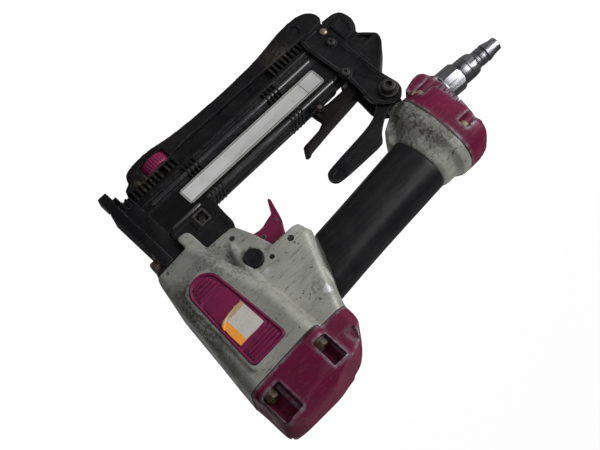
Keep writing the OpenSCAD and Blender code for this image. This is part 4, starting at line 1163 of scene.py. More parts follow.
@dataclass
class Housing(Assembly):
    """The cast body: cylinder housing, shoulder, trigger frame, handle tube and rear flange."""

    frame_half: float = 12.5
    grain: float = 0.8

    def cylinder_block(self) -> list[Piece]:
        """Makes the wide block round the cylinder and the shoulder behind it."""
        wide = (
            (70, 14, 14, 8.2, 11.8, 4), (84, 16.8, 20, 13.8, 18.6, 7), (98, 19.5, 22, 21, 26.3, 9),
            (118, 21.8, 26.6, 21.2, 27.4, 9), (138, 24.1, 30, 21.2, 28.2, 9), (156, 26.4, 30.6, 21.3, 28.7, 9),
            (173, 28.2, 31.1, 21.4, 29.1, 9)
        )
        block = skin("Block", [plan_ring(*row) for row in wide])
        neck = (
            (111, 10, 73, 18, 18, 9), (120, 10, 75.5, 18, 18, 9), (141, 10, 66.3, 18, 18, 9),
            (162, 10, 57, 18, 18, 9), (173, 10, 52.8, 18, 18, 9)
        )
        shoulder = skin("Shoulder", [plan_ring(*row) for row in neck])
        return [block, shoulder]

    def trigger_frame(self) -> list[Piece]:
        """Makes the web over the trigger, the dial's boss and the lugs over the support."""
        web = plate("Web", [
            (-64, 118), (-61, 111.2), (-52, 111), (-48, 94), (-43.6, 83.2), (-40, 81), (-21, 80), (-10, 79.5),
            (-8, 100), (-20, 118)
        ], -self.frame_half, self.frame_half)
        boss = lathe("Boss", [
            (12.6, -4), (12.2, 11.6), (10.6, 13.2), (9.6, 15.4), (8.9, 17.2), (8.2, 18)
        ], along_y(*DIAL_PLACE) @ FACING_DIAL, 40)
        lug = plate("Lug", rounded([
            (-21, 88), (-21, 65), (-19.5, 62.5), (-17, 61.5), (-12, 61.5), (-12, 88)
        ], 1.6), 9.2, 12.6)
        ridge = rope("Ridge", [
            (-36.5, 11.2, 83), (-33.8, 12.0, 88.6), (-31.0, 13.2, 95.0), (-28.6, 15.6, 103.5), (-27.2, 17.8, 112.1),
            (-25.6, 19.4, 122), (-25.4, 19.6, 132), (-27.4, 18.4, 143)
        ], (0.5, 1.3, 2.4, 3.4, 3.8, 3.4, 2.6, 1.4))
        land = plate("Land", pad_outline(2.6), -3, 0.55, at=PAD_PLACE)
        pieces = [web, boss]
        for piece in (lug, ridge, land):
            pieces += both(piece)
        return pieces

    def flange(self) -> list[Piece]:
        """Makes the handle tube, the flange at its rear end and the lug below it."""
        tube = skin("Tube", [oval_ring(x, 31.1, 35.1, 3.0) for x in (-100, -60, -20, 12)], HANDLE)
        start = [HANDLE @ spot for spot in oval_ring(-88, 36.6, 40.6, 2.3)]
        near = [HANDLE @ spot for spot in oval_ring(-91, 39.5, 44.5, 2.3, -0.5)]
        mid = [FLANGE @ spot for spot in oval_ring(10.5, 45.5, 56.5, 2.35, -0.6)]
        rim = [FLANGE @ spot for spot in oval_ring(6, 48.4, 61.5, 2.4)]
        face = [FLANGE @ spot for spot in oval_ring(-2, 49, 63, 2.4)]
        bell = skin("Bell", [start, near, mid, rim, face])
        chin = skin("Chin", [
            plan_ring(z, -x1, x0, h, h, 2.5)
            for z, x0, x1, h in (
                (95.5, 186, 174, 8.5), (104, 180, 158, 9), (110.5, 180, 153.2, 9), (120, 180, 152.5, 8)
            )
        ])
        lug = plate("Rear_Lug", rounded([
            (-188, 91), (-188, 83), (-185, 79), (-179, 78), (-174, 83), (-171.5, 100), (-182, 100)
        ], 2.5), -4.8, 4.8)
        return [tube, bell, chin, lug]

    def ears(self) -> Piece:
        """Makes the two thin ears that carry the trigger pin."""
        ear = plate("Ear", [
            (-54.5, 112), (-54.5, 99.7), (-53.8, 97.6), (-52, 96.7), (-50.2, 97.6), (-49.5, 99.7), (-49.5, 112)
        ], 3.6, 5)
        return joined("Ears", both(ear))

    def drill(self, casting: Piece) -> None:
        """Bores the cylinder, the trigger room, the pad seats and the small holes."""
        bore = rod("Bore", CYLINDER_ROOM, 98, 175, UPRIGHT, 64)
        passage = lathe("Passage", [(3, 60), (3, 92.5), (15.1, 92.5), (15.1, 98.5)], UPRIGHT, 48)
        room = block("Room", (-70, -8.1, 79), (-44.5, 8.1, 110.3))
        rail = block("Rail", (-48, 3.7, 69), (-3.5, 6.3, 84.5))
        slot = block("Slot", (-47.4, -2.8, 79), (-42.6, 6.3, 110.3))
        seat = plate("Seat", pad_outline(0.35), -1.4, 8, at=PAD_PLACE)
        holes = [bore, passage, room, rail, slot, seat, mirrored(seat)]
        side_holes = (
            ("Valve_Hole", -60.8, 116.4, 1.3, 6), ("Cross_Hole", -44, 116.8, 1.8, 13),
            ("Upper_Pin_Hole", -38, 101.4, 1.5, 6), ("Lower_Pin_Hole", -36.5, 87.5, 1.8, 6),
            ("Nose_Pin_Hole", *NOSE_PIN, 1.55, 4),
        )
        for name, x, z, r, low in side_holes:
            hole = rod(name, r, low, 30, along_y(x, z), 28)
            holes += both(hole)
            if name != "Cross_Hole":
                ring = lathe(name + "_Ring", [(r + 0.4, 12.25), (r + 0.9, 12.9), (r + 0.9, 30)], along_y(x, z), 28)
                holes += both(ring)
        for x, y in CAP_BOLTS:
            for side in Side:
                holes.append(rod("Bolt_Hole", 2.55, 155, 175, shift(x, y * side.value, 0), 24))
        carved(casting, holes + under_body_cutters())

    def build(self) -> list[Piece]:
        """Casts, saws and drills the body."""
        parts = self.cylinder_block() + self.trigger_frame() + self.flange()
        casting = joined("Body_Casting", parts)
        cast(casting, self.grain, 5, 0.45)
        trimmed(casting, (0, 0, SEAM), (0, 0, 1))
        trimmed(casting, (0, 0, 0), (-1, 0, 0), FLANGE)
        self.drill(casting)
        casting = joined("Body_Casting", [casting, self.ears()])
        self.dress(casting, SILVER, "silver_paint", "body_casting")
        return self.made


def under_body_cutters() -> list[Piece]:
    """Gives the cutters that make room for the support and the contact strip under the body."""
    under = plate("Under", [(-60, 50), (-11.9, 50), (-11.9, 79.5), (-21, 80), (-40, 81), (-60, 92)], -9.15, 9.15)
    spring = rod("Spring_Hole", 2.7, 79, 92, SPRING_PLACE, 24)
    nose = block("Nose_Room", (-6.1, -3.5, 69), (10.1, 3.5, 78.2))
    return [under, spring, nose]


@dataclass
class Cap(Assembly):
    """The crimson cap over the cylinder, with its four bolts."""

    profile: tuple[Point, ...] = (
        (28.2, 165), (27.6, 173), (27, 181.6), (27.2, 198), (24.2, 201.3), (19.5, 203), (14.5, 204.5), (8, 205.2),
        (-4.5, 205.2), (-13.7, 204), (-20, 202), (-26, 200), (-32, 199.4), (-38, 197.5), (-43.6, 193.5), (-48.7, 188),
        (-52, 183.7), (-53.6, 177), (-53.6, 165)
    )
    pocket_floor: float = 178.5
    crown: tuple[Point, ...] = (
        (-29.2, 166), (29.2, 166), (28.8, 188), (27, 195.5), (23, 200.4), (15, 204.4), (8, 205.3), (-8, 205.3),
        (-15, 204.4), (-23, 200.4), (-27, 195.5), (-28.8, 188)
    )

    def form(self) -> Piece:
        """Makes the cap's outer form from its plan, side view and front view."""
        wide = skin("Wide", [plan_ring(168, 28, 31, 21.4, 29, 9), plan_ring(206, 28, 31, 21.4, 29, 9)])
        neck = skin("Neck", [plan_ring(168, 10, 53.5, 18, 18, 9), plan_ring(206, 10, 53.5, 18, 18, 9)])
        carved(wide, [neck], Cut.ADD)
        for name, outline, plane, reach in (
            ("Profile", self.profile, Plane.XZ, 40), ("Crown", self.crown, Plane.YZ, 80)
        ):
            tool = plate(name, flowing(outline), -reach, reach, plane)
            carved(wide, [tool], Cut.KEEP)
        return wide

    def pockets(self) -> list[Piece]:
        """Gives the cutters of the bolt pockets and of the corner recesses."""
        cutters = []
        sizes = ((11.2, 25.2, 15.0, 200.5), (-29.5, -18.5, 19.2, 197.5))
        for (x, y), (low, high, deep, top) in zip(CAP_BOLTS, sizes):
            bowl = rod("Bowl", 5.3, self.pocket_floor, top, shift(x, y, 0), 32)
            gap = block("Gap", (low, deep, self.pocket_floor), (high, 40, top))
            cutters += [bowl, gap, mirrored(bowl), mirrored(gap)]
        corner = plate("Corner", [(-38.6, 185), (-46.3, 185), (-41, 198.6)], 16.4, 30)
        panel = block("Panel_Line", (-17.4, 27.3, 176), (-16.4, 40, 210))
        return cutters + both(corner) + both(panel)

    def build(self) -> list[Piece]:
        """Makes the cap and its bolts."""
        cap = self.form()
        cap.name = cap.data.name = "Cylinder_Cap"
        cast(cap, 0.7, 16, 1.0)
        carved(cap, self.pockets())
        cast(cap, 0.5, 3, 0.6)
        trimmed(cap, (0, 0, CAP_FOOT), (0, 0, -1))
        room = rod("Room", CYLINDER_ROOM, 160, 190, UPRIGHT, 48)
        rear = block("Rear_Room", (-46, -12, 160), (-14, 12, 185))
        carved(cap, [room, rear])
        self.dress(cap, CRIMSON, "crimson_paint", "cylinder_cap")
        bolts = []
        for x, y in CAP_BOLTS:
            for side in Side:
                at = shift(x, y * side.value, self.pocket_floor)
                washer = turned("Washer", [(2.7, 0), (4.8, 0), (4.8, 0.8), (4.6, 1), (2.7, 1)], at, 40)
                shank = lathe("Shank", [(2.2, -21), (2.5, -20.5), (2.5, 1.5)], at, 28)
                head = hex_head("Head", 8, 4, at @ shift(0, 0, 1) @ Matrix.Rotation(0.3 * x, 4, "Z"))
                bolts += [washer, shank, head]
        self.dress(joined("Cap_Bolts", bolts), RUSTY, "rusty_steel", "cap_bolts", "cap_washers")
        return self.made


@dataclass
class SidePads(Assembly):
    """The two moulded pads on the housing and the worn sticker on the near one."""

    def pad(self) -> Piece:
        """Moulds a pad with a rim, a sunk field and grip ribs at both ends."""
        body = plate("Pad", pad_outline(0), -1.3, 1.3, at=PAD_PLACE)
        field_cut = plate("Field", pad_outline(-1.4), 0.1, 4, at=PAD_PLACE)
        carved(body, [field_cut])
        round_edges(body, 0.55, 3, 30)
        panel = plate("Panel", rounded([
            (-9.6, -15), (-7.9, -17.6), (7.9, -17.6), (9.4, -15), (11.6, 18), (10.2, 20.2), (-10.2, 20.2), (-11.6, 18)
        ], 1.6), -0.5, 0.65, at=PAD_PLACE)
        round_edges(panel, 0.4, 3, 30)
        ribs = [panel]
        for k in range(4):
            rows = ((-11.2, 11.2, 30.4 - 2.5 * k), (2.2 - 8.0 - 0.9 * k, 5.8 + 0.9 * k, -28.4 + 2.6 * k))
            for low, high, z in rows:
                ribs.append(soft_block("Rib", (low, -0.5, z - 0.85), (high, 1.35, z + 0.85), 0.55, 4, PAD_PLACE))
        return joined("Pad", [body] + ribs)

    def build(self) -> list[Piece]:
        """Moulds the pads and lays the sticker."""
        left = self.pad()
        right = mirrored(left, "Side_Pad_Right")
        left.name = left.data.name = "Side_Pad_Left"
        self.dress(left, PAD, "crimson_plastic", "side_pad_left")
        self.dress(right, PAD, "crimson_plastic", "side_pad_right")
        edge = [
            (-9.8, 18.2), (-3, 18.5), (4, 18.2), (10.5, 18.4), (10.6, 10), (10.2, 4), (8.8, 0.2), (6.6, 1.4),
            (5.2, -1.2), (3.0, -0.2), (0.6, -2.2), (-1.8, -0.8), (-4.2, -2.9), (-6.6, -1.4), (-9.5, -2.4), (-9.7, 8)
        ]
        sheet = plate("Sticker_Sheet", edge, 0.6, 0.86, at=PAD_PLACE)
        curl = rope("Curl", [
            PAD_PLACE @ Vector(spot)
            for spot in (
                (-9.6, 0.75, -1.6), (-4, 0.85, -1.8), (1, 1.0, -1.3), (4.6, 1.3, -0.4), (7.2, 1.6, 0.5),
                (9.4, 1.5, 1.6), (10.9, 1.0, 4.0)
            )
        ], (0.25, 0.4, 0.5, 0.9, 1.4, 1.2, 0.4))
        sheet = joined("Sticker_Sheet", [sheet, curl])
        sticker = mirrored(sheet, "Pad_Sticker")
        bpy.data.objects.remove(sheet, do_unlink=True)
        self.dress(sticker, STICKER, "crimson_plastic")
        return self.made


@dataclass
class Grip(Assembly):
    """The rubber sleeve on the handle."""

    def build(self) -> list[Piece]:
        """Moulds the sleeve, saws it along the shoulder and hollows it."""
        rows = (
            (-90, 36.4, 40.6), (-84, 36.2, 40.4), (-70, 36, 40), (-50, 35.8, 39.3), (-30, 35.6, 38.8),
            (-10, 35.8, 38.8), (10, 36, 39.4), (30, 36.2, 40)
        )
        sleeve = skin("Grip_Sleeve", [oval_ring(x, w, h, 2.35) for x, w, h in rows], HANDLE)
        trimmed(sleeve, (-87.6, 0, 0), (-1, 0, 0), HANDLE)
        lean = math.radians(23.8)
        trimmed(sleeve, (-57.9, 0, 162), (math.cos(lean), 0, -math.sin(lean)))
        bore = skin("Bore", [oval_ring(x, 31.2, 35.2, 3.0) for x in (-120, 60)], HANDLE)
        carved(sleeve, [bore])
        round_edges(sleeve, 0.7, 3, 40)
        self.dress(sleeve, RUBBER, "rubber", "grip_sleeve")
        return self.made


@dataclass
class EndCap(Assembly):
    """The crimson cap at the rear end of the handle, with its screws."""

    def build(self) -> list[Piece]:
        """Casts the cap, cuts the screw pockets and adds the screws."""
        rows = (
            (0.5, 48.6, 62.4, 0, 2.5), (-4, 48.4, 62.0, 0.2, 2.6), (-9, 48, 60.6, 0.6, 2.9),
            (-14, 47, 57.6, 1.2, 3.2), (-18, 45, 53.8, 1.7, 3.5), (-20.4, 41.5, 49, 2, 3.6), (-21.6, 37, 44, 2, 3.6)
        )
        shell = skin("Shell", [oval_ring(x, w, h, p, m) for x, w, h, m, p in rows], FLANGE)
        boss = lathe("Boss", [(12, -22), (12, -1.5), (11.2, -0.3)], FITTING, 48)
        chin = plate("Chin", rounded([
            (-185, 96), (-196, 93.2), (-201, 93.6), (-204.2, 97), (-204.2, 113), (-190, 114)
        ], 2.5), -15, 15)
        back = plate("Back", rounded([
            (-190, 95.5), (-201.5, 95.5), (-205.6, 101), (-206.6, 112), (-205.6, 128), (-203, 143), (-200, 148),
            (-190, 149)
        ], 2.5), -15.5, 15.5)
        pad = block("Pad", (-203.2, -15, 141), (-196, 15, 148))
        cap = joined("End_Cap", [shell, boss, chin, back, pad])
        tools = []
        for y, z in END_SCREWS:
            for side in Side:
                place = FLANGE @ shift(0, y * side.value, z) @ Matrix.Rotation(-math.pi / 2, 4, "Y")
                tools.append(lathe("Well", [(4, 9), (4.2, 40)], place, 32))
                low, high = span(side, y, 40)
                tools.append(block("Mouth", (-40, low, z - 3.6), (-9, high, z + 3.6), FLANGE))
        for k in range(5):
            for side in Side:
                low, high = span(side, 12.0, 24.0)
                tools.append(block("Tooth_Gap", (-216, low, 110.4 + 3.7 * k), (-199.8, high, 112.1 + 3.7 * k)))
        cast(cap, 0.6, 6, 1.0)
        carved(cap, tools)
        cast(cap, 0.42, 2, 0.6)
        trimmed(cap, (-1, 0, 0), (1, 0, 0), FLANGE)
        hollow = skin("Hollow", [oval_ring(x, 25, 29, 3.0) for x in (5, -18)], FLANGE)
        bore = rod("Thread_Hole", 6.55, -24, 5, FITTING, 40)
        carved(cap, [hollow, bore])
        self.dress(cap, CRIMSON, "crimson_paint", "end_cap")
        screws = []
        for y, z in END_SCREWS:
            for side in Side:
                place = FLANGE @ shift(-9, y * side.value, z) @ Matrix.Rotation(-math.pi / 2, 4, "Y")
                screws.append(rod("Shank", 2, -17.5, 0.5, place, 24))
                screws.append(socket_head("Head", 7, 4, 3, place))
                inner, outer = span(side, y, y + 4.4)
                fill = block("Packed_Dust", (-9.3, inner, z - 3.4), (-6, outer, z + 3.4), FLANGE)
                screws.append(fill)
        self.dress(joined("End_Cap_Screws", screws), DUSTY_SCREW, "rusty_steel", "end_cap_screws")
        return self.made


@dataclass
class AirFitting(Assembly):
    """The swivel fitting and the air plug."""

    nut_across: float = 17.6

    def build(self) -> list[Piece]:
        """Turns the nut, the swivel body and the plug."""
        nut = plate("Nut", hexagon(self.nut_across, math.pi / 6), 0.9, 14.4, Plane.XY, FITTING)
        dome = turned("Dome", [(0, -2), (9.0, 0.2), (10.4, 2.2), (10.4, 12.6), (8.8, 14.9), (0, 14.9)], FITTING, 64)
        carved(nut, [dome], Cut.KEEP)
        inner = lathe("Inner", [(6.2, -12), (6.45, -11.5), (6.45, 1.2)], FITTING, 40)
        bore = lathe("Bore", [(3, -13), (3, 4), (4.6, 4), (4.6, 14)], FITTING, 32)
        nut = joined("Swivel_Nut", [carved(nut, [bore]), inner])
        round_edges(nut, 0.2, 2, 25)
        self.dress(nut, CHROME, "chrome", "swivel_nut")
        body = turned("Swivel_Body", [
            (3, 4.4), (4.5, 4.4), (4.5, 14.6), (7.9, 14.6), (8.4, 15.2), (8.45, 20.6), (8.1, 20.9), (8.1, 21.4),
            (8.4, 21.8), (8.3, 24), (8.0, 26.4), (7.5, 28.0), (6.9, 28.6), (5.2, 28.6), (5.2, 25), (3, 25)
        ], FITTING, 72)
        flats = [
            block("Flat", low, high, FITTING)
            for low, high in (((-12, 7.5, 22.4), (12, 12, 40)), ((-12, -12, 22.4), (12, -7.5, 40)))
        ]
        carved(body, flats)
        round_edges(body, 0.12, 2, 30)
        pin = rod("Pin_Hole", 0.9, 7, 10, FITTING @ shift(0, 0, 16) @ Matrix.Rotation(math.pi / 2, 4, "X"), 20)
        carved(body, [pin])
        self.dress(body, CHROME, "chrome", "swivel_body", body="air_swivel")
        plug = turned("Air_Plug", [
            (3, 18.2), (5, 18.2), (5, 28), (6.1, 28.8), (6.1, 30.6), (5.8, 31.0), (5.8, 31.8), (6.1, 32.2),
            (6.1, 36.0), (5.7, 36.5), (5.3, 36.7), (5.3, 37.4), (6.1, 37.7), (6.3, 38.1), (6.2, 39.2), (5.8, 41),
            (5.35, 43), (5.0, 45), (4.8, 47), (4.75, 48.8), (4.45, 49.3), (3.5, 49.3), (3.1, 48.9), (3, 48)
        ], FITTING, 72)
        round_edges(plug, 0.12, 2, 30)
        self.dress(plug, CHROME, "chrome", "air_plug", body="air_swivel")
        return self.made


FINGER = (
    (-52.7, 94.2), (-56.6, 94.1), (-61.3, 92.7), (-65.9, 91.7), (-68, 90), (-69.5, 86.8), (-71.5, 83), (-72.5, 82.3),
    (-73.4, 84.1), (-71.6, 89.6)
)


@dataclass
class TriggerGroup(Assembly):
    """The trigger with its finger hook and its two pins."""

    side: tuple[Point, ...] = FINGER + (
        (-69.9, 95.1), (-68.2, 99.9), (-66, 103.3), (-63.1, 106.2), (-59.4, 108.3), (-53.6, 107.8), (-51.8, 106.2),
        (-50.2, 102.3), (-49.2, 97.3), (-48.6, 93.2))
    web: tuple[Point, ...] = FINGER + (
        (-70.4, 93.4), (-67.5, 93.9), (-62, 94.9), (-56.4, 96.1), (-52.7, 96.1))

    def build(self) -> list[Piece]:
        """Presses the trigger from two cheeks and a finger web."""
        cheek = plate("Cheek", self.side, 5.4, 7.8)
        trigger = carved(cheek, [mirrored(cheek), plate("Web", self.web, -7.8, 7.8)], Cut.ADD)
        holes = [rod("Hole", r, -12, 12, along_y(x, z), 28) for (x, z), r in ((TRIGGER_PIN, 1.55), (ARM_PIN, 0.95))]
        holes.append(rod("Arm_Room", 2.1, -2.8, 2.8, along_y(*ARM_PIN), 24))
        carved(trigger, holes)
        round_edges(trigger, 0.55, 3, 32)
        trigger.name = "Trigger_Lever"
        self.dress(trigger, TRIGGER_RED, "crimson_paint", "trigger", body="trigger")
        pins = []
        for (x, z), r in ((TRIGGER_PIN, 1.5), (ARM_PIN, 0.9)):
            stub = lathe("Stub", [(r, 5.6), (r, 7.75), (r - 0.2, 7.95)], along_y(x, z), 24)
            pins += both(stub)
        self.dress(joined("Trigger_Pins", pins), DARK_STEEL, "rusty_steel", body="trigger")
        return self.made


@dataclass
class SideDial(Assembly):
    """The slotted dial on the boss beside the trigger."""

    def build(self) -> list[Piece]:
        """Turns the dial and mills its slot and grip notches."""
        at = along_y(*DIAL_PLACE) @ FACING_DIAL
        dial = lathe("Side_Dial", [
            (3, 14), (3, 18.3), (6.4, 18.3), (6.65, 18.6), (6.65, 20.6), (6.1, 21.3), (5.6, 21.5), (4.9, 21.2)
        ], at, 64)
        notches = [rod("Notch", 0.55, 18.9, 22, place, 12) for place in spaced(at, 6.75, 12)]
        carved(dial, [block("Slot", (-39.3, -24, 109.15), (-30.7, -20.1, 110.85))] + notches)
        round_edges(dial, 0.15, 2, 30)
        self.dress(dial, BLACK_PLASTIC, "black_plastic", "side_dial", body="side_dial")
        return self.made


@dataclass
class Nose(Assembly):
    """The nose block, the ridged front plate with its bolt, and the contact foot."""

    def base(self) -> None:
        """Mills the nose block."""
        base = block("Nose_Base", (-12, -7.5, 22), (-2.05, 7.5, 70))
        adds = [
            plate("Flange", [(-6, 68.2), (12.5, 68.2), (12.5, 70), (-6, 70)], -7.5, 7.5),
            block("Tongue", (-6, -3.4, 68), (10, 3.4, 78)), block("Toe", (-12, -7.5, 14.2), (-2.1, 3.4, 22.6)),
            block("Guide", (-2.5, -0.8, 16), (-0.8, 0.8, 68)), block("Tip", (-2.2, -3, 1.2), (1.8, 3, 20))
        ]
        carved(base, adds, Cut.ADD)
        tools = [
            block("Channel", (-0.8, -1.75, 0), (0.8, 1.75, 80)), block("Feed", (-13, -0.8, 24), (0, 0.8, 51.5)),
            block("Strip", (-8.3, 3.8, 20), (-3.7, 6.3, 71)), rod("Pin_Hole", 1.55, -9, 9, along_y(*NOSE_PIN), 24)
        ]
        for i in range(3):
            tools.append(block("Groove", (-11.5 + 3.4 * i, -9, 13), (-9.8 + 3.4 * i, -5.5, 21.4)))
        carved(base, tools)
        round_edges(base, 0.35, 2, 40)
        self.dress(base, BLACK_METAL, "black_metal", "nose_base")

    def front(self) -> None:
        """Mills the front plate and its ridges, and sets the bolt."""
        front = block("Nose_Plate", (-2, -7.5, 9.6), (5, 7.5, 68))
        tools = [
            block("Channel", (-3, -1.75, 9), (0.8, 1.75, 69)), block("Window", (-4, -4.9, 9), (3.5, 4.9, 14.8)),
            block("Tip_Room", (-4, -3.1, 14), (1.9, 3.1, 20.1)),
            rod("Bolt_Hole", 2.55, 1.2, 6, along_x(*NOSE_BOLT), 24)
        ]
        tools.append(plate("Slope", [(5.6, 9), (5.6, 20), (2.6, 9)], -9, 9))
        carved(front, tools)
        round_edges(front, 0.4, 2, 40)
        ridges = [soft_block("Ridge", (4.6, y - 0.8, 19), (5.5, y + 0.8, 54), 0.3) for y in (-5.2, 0.0, 5.2)]
        self.dress(joined("Nose_Plate", [front] + ridges), BLACK_METAL, "black_metal", "nose_plate")
        at = along_x(*NOSE_BOLT)
        shank = rod("Shank", 2.5, 1.4, 6, at, 28)
        head = hex_head("Head", 10, 5, at @ shift(0, 0, 5.5) @ Matrix.Rotation(0.4, 4, "Z"))
        washer = lathe("Face", [(5.5, 5), (5.5, 5.4), (5.3, 5.6)], at, 40)
        self.dress(joined("Nose_Bolt", [shank, head, washer]), RUSTY, "rusty_steel", "nose_bolt")

    def foot(self) -> None:
        """Bends the contact strip and its foot."""
        foot = plate("Contact_Arm", rounded([(-3.8, 0), (3.2, 0), (3.2, 9.5), (-3.8, 9.5)], 0.8), -4.6, 4.6)
        carved(foot, [block("Hollow", (-2.5, -3.3, -1), (2.1, 3.3, 11))])
        strips = [
            block("S", *corners)
            for corners in (
                ((-8, 4, 3), (-3.7, 6, 9)), ((-8, 4, 3), (-4, 6, 79)), ((-47, 4, 75), (-4, 6, 79)),
                ((-47, 4, 75), (-43, 6, 104)), ((-47, -2.5, 101.8), (-43, 6, 104)),
                ((-54.4, -2.5, 101.8), (-43, 3.3, 104)), ((-54.4, -2.5, 99.5), (-53.8, 3.3, 104)),
                ((-58, -2.5, 99.5), (-53.8, 3.3, 102))
            )
        ]
        carved(foot, strips, Cut.ADD)
        round_edges(foot, 0.3, 2, 40)
        self.dress(foot, BLACK_METAL, "black_metal", "contact_arm", body="contact_arm")

    def build(self) -> list[Piece]:
        """Builds the nose group."""
        self.base()
        self.front()
        self.foot()
        return self.made


@dataclass
class FrontSupport(Assembly):
    """The moulded support between housing and magazine, with the clip in its window."""

    outline: tuple[Point, ...] = (
        (-48.4, 55.2), (-47.6, 60), (-46.8, 66), (-46.4, 72), (-46.2, 78), (-43.9, 82.2), (-40, 80.2), (-21.3, 79.2),
        (-13, 78.8), (-12.2, 70), (-12.2, 54.2), (-48, 54.2)
    )

    def build(self) -> list[Piece]:
        """Moulds the support and bends the clip."""
        support = plate("Front_Support", rounded(self.outline, 2.5, 5), -9, 9)
        window = plate("Window", rounded([(-39, 56), (-29.5, 56), (-29.5, 66), (-39, 66)], 1.0), -12, 12)
        rail = block("Rail", (-50, 3.7, 74.7), (-11, 6.3, 85))
        hole = rod("Spring", 2.7, 78, 85, SPRING_PLACE, 24)
        tools = [window, rail, hole]
        for side in Side:
            low, high = span(side, 8.3, 12)
            tools.append(plate("Field", rounded([
                (-43.3, 68.5), (-14.5, 68.5), (-15, 76), (-43.6, 76.4)
            ], 1.2), low, high))
            tools.append(plate("Field", rounded([(-27, 57), (-14.3, 57), (-14.3, 66), (-27, 66)], 1.2), low, high))
        carved(support, tools)
        round_edges(support, 0.9, 4, 35)
        self.dress(support, BLACK_PLASTIC, "black_plastic", "front_support")
        clip = plate("Magazine_Clip", rounded([
            (-38.8, 56.2), (-29.7, 56.2), (-29.7, 65.8), (-38.8, 65.8)
        ], 1.0), -9.4, 9.4)
        strip = plate("Strip", [
            (-38.2, 57.4), (-38.2, 60.2), (-33.6, 65.2), (-30.3, 65.2), (-30.3, 62.4), (-34.9, 57.4)
        ], -6.5, 6.5)
        carved(clip, [plate("Inside", rounded([
            (-37.8, 57.2), (-30.7, 57.2), (-30.7, 64.8), (-37.8, 64.8)
        ], 0.8), -10, 10)])
        clip = joined("Magazine_Clip", [clip, strip])
        round_edges(clip, 0.2, 2, 40)
        self.dress(clip, DARK_STEEL, "steel", "magazine_clip")
        return self.made


@dataclass
class Magazine(Assembly):
    """The magazine channel with its beads, ribs and white plate."""

    def channel(self) -> None:
        """Draws the channel as one long profile with beads and grooves, then mills its ends."""
        half = [
            (0, 54), (7.0, 54), (7.6, 53.7), (8.0, 53.0), (8.0, 51.0), (7.7, 50.3), (7.6, 50.0), (7.6, 36.2),
            (7.6, 34.4), (7.0, 34.2), (7.0, 33.2), (7.6, 33.0), (7.6, 28.2), (7.0, 28.0), (7.0, 27.0), (7.6, 26.8),
            (7.6, 25.2), (8.1, 24.8), (8.3, 24.2), (8.1, 23.6), (7.7, 23.2), (7.7, 22.2), (7.4, 21.5), (0, 21.5)
        ]
        outline = half + [(-y, z) for y, z in reversed(half[1:-1])]
        channel = plate("Magazine_Body", outline, -185, -12, Plane.YZ)
        tools = [
            block("Room", (-186, -6.2, 24), (-13.2, 6.2, 51.5)), block("Feed", (-15, -0.8, 24), (-11, 0.8, 51.5)),
            rod("Lever_Hole", 1.55, -12, 12, along_y(*LEVER_PIN), 24)
        ]
        for x in GUARD_SCREWS:
            tools.append(rod("Screw_Hole", 1.55, 20, 25.5, shift(x, 0, 0), 20))
        for side in Side:
            low, high = span(side, 5.0, 12)
            tools.append(rod("Screw", 2.05, low, high, along_y(*LOWER_SCREW), 20))
            tools.append(plate("Lip_End", [
                (-12, 36.5), (-22.5, 33.4), (-22.5, 21), (-11, 21), (-11, 36.5)
            ], *span(side, 7.55, 12)))
        ear = plate("Ear", rounded([
            (-145.8, 53), (-145.5, 60.4), (-144, 63.4), (-142, 64), (-140, 63.4), (-138.5, 60.4), (-138.2, 53)
        ], 0.8), 6.8, 8)
        carved(channel, both(ear), Cut.ADD)
        beads = []
        for x0, x1, z0, z1 in ((-163, -17.5, 28.6, 32.6), (-163, -46, 51.2, 55.0), (-41, -15.5, 51.2, 55.0)):
            r = (z1 - z0) / 2
            plan = ((x0, 7.0), (x0 + 0.8, 7.3), (x0 + 2.6, 7.5), (x1 - 2.6, 7.5), (x1 - 0.8, 7.3), (x1, 7.0))
            way = [(x, y, (z0 + z1) / 2) for x, y in plan]
            bead = rope("Bead", way, (0.4, r * 0.75, r, r, r * 0.75, 0.4), 20)
            beads += both(bead)
        carved(channel, tools)
        round_edges(channel, 0.2, 2, 50)
        self.dress(channel, BLACK_METAL, "black_metal", "magazine_body", angle=30)
        self.dress(joined("Magazine_Beads", beads), BEAD_SHEEN_AND_WEAR, "black_metal", angle=50)

    def ribs(self) -> None:
        """Adds the bands of ribs above and below the plate."""
        ribs = []
        for x0 in (-132.6, -60):
            for i in range(4):
                x = x0 + 3.1 * i
                for low, high in ((50.2, 54.8), (25.4, 35.6)):
                    ribs.append(soft_block("Rib", (x, -9.6, low), (x + 1.5, 9.6, high), 0.45, 3))
        bands = carved(joined("Magazine_Ribs", ribs), [block("Core", (-150, -7.3, 0), (-30, 7.3, 53.9))])
        self.dress(bands, BLACK_METAL, "black_metal", "magazine_ribs")

    def label(self) -> None:
        """Lays the white plate with its pressed border."""
        corners = [
            (LABEL_X[0], LABEL_Z[0]), (LABEL_X[1], LABEL_Z[0]), (LABEL_X[1], LABEL_Z[1]), (LABEL_X[0], LABEL_Z[1])
        ]
        plate_piece = plate("Label_Plate", rounded(corners, 2.2, 6), -8.15, -7.6)
        groove = plate("Line", rounded([
            (-157.6, 37.2), (-37.0, 37.2), (-37.0, 48.4), (-157.6, 48.4)
        ], 1.8, 6), -9, -8.08)
        carved(plate_piece, [groove])
        round_edges(plate_piece, 0.06, 2, 40)
        self.dress(plate_piece, LABEL, "white_label", "label_plate")

    def build(self) -> list[Piece]:
        """Builds the magazine group."""
        self.channel()
        self.ribs()
        self.label()
        return self.made


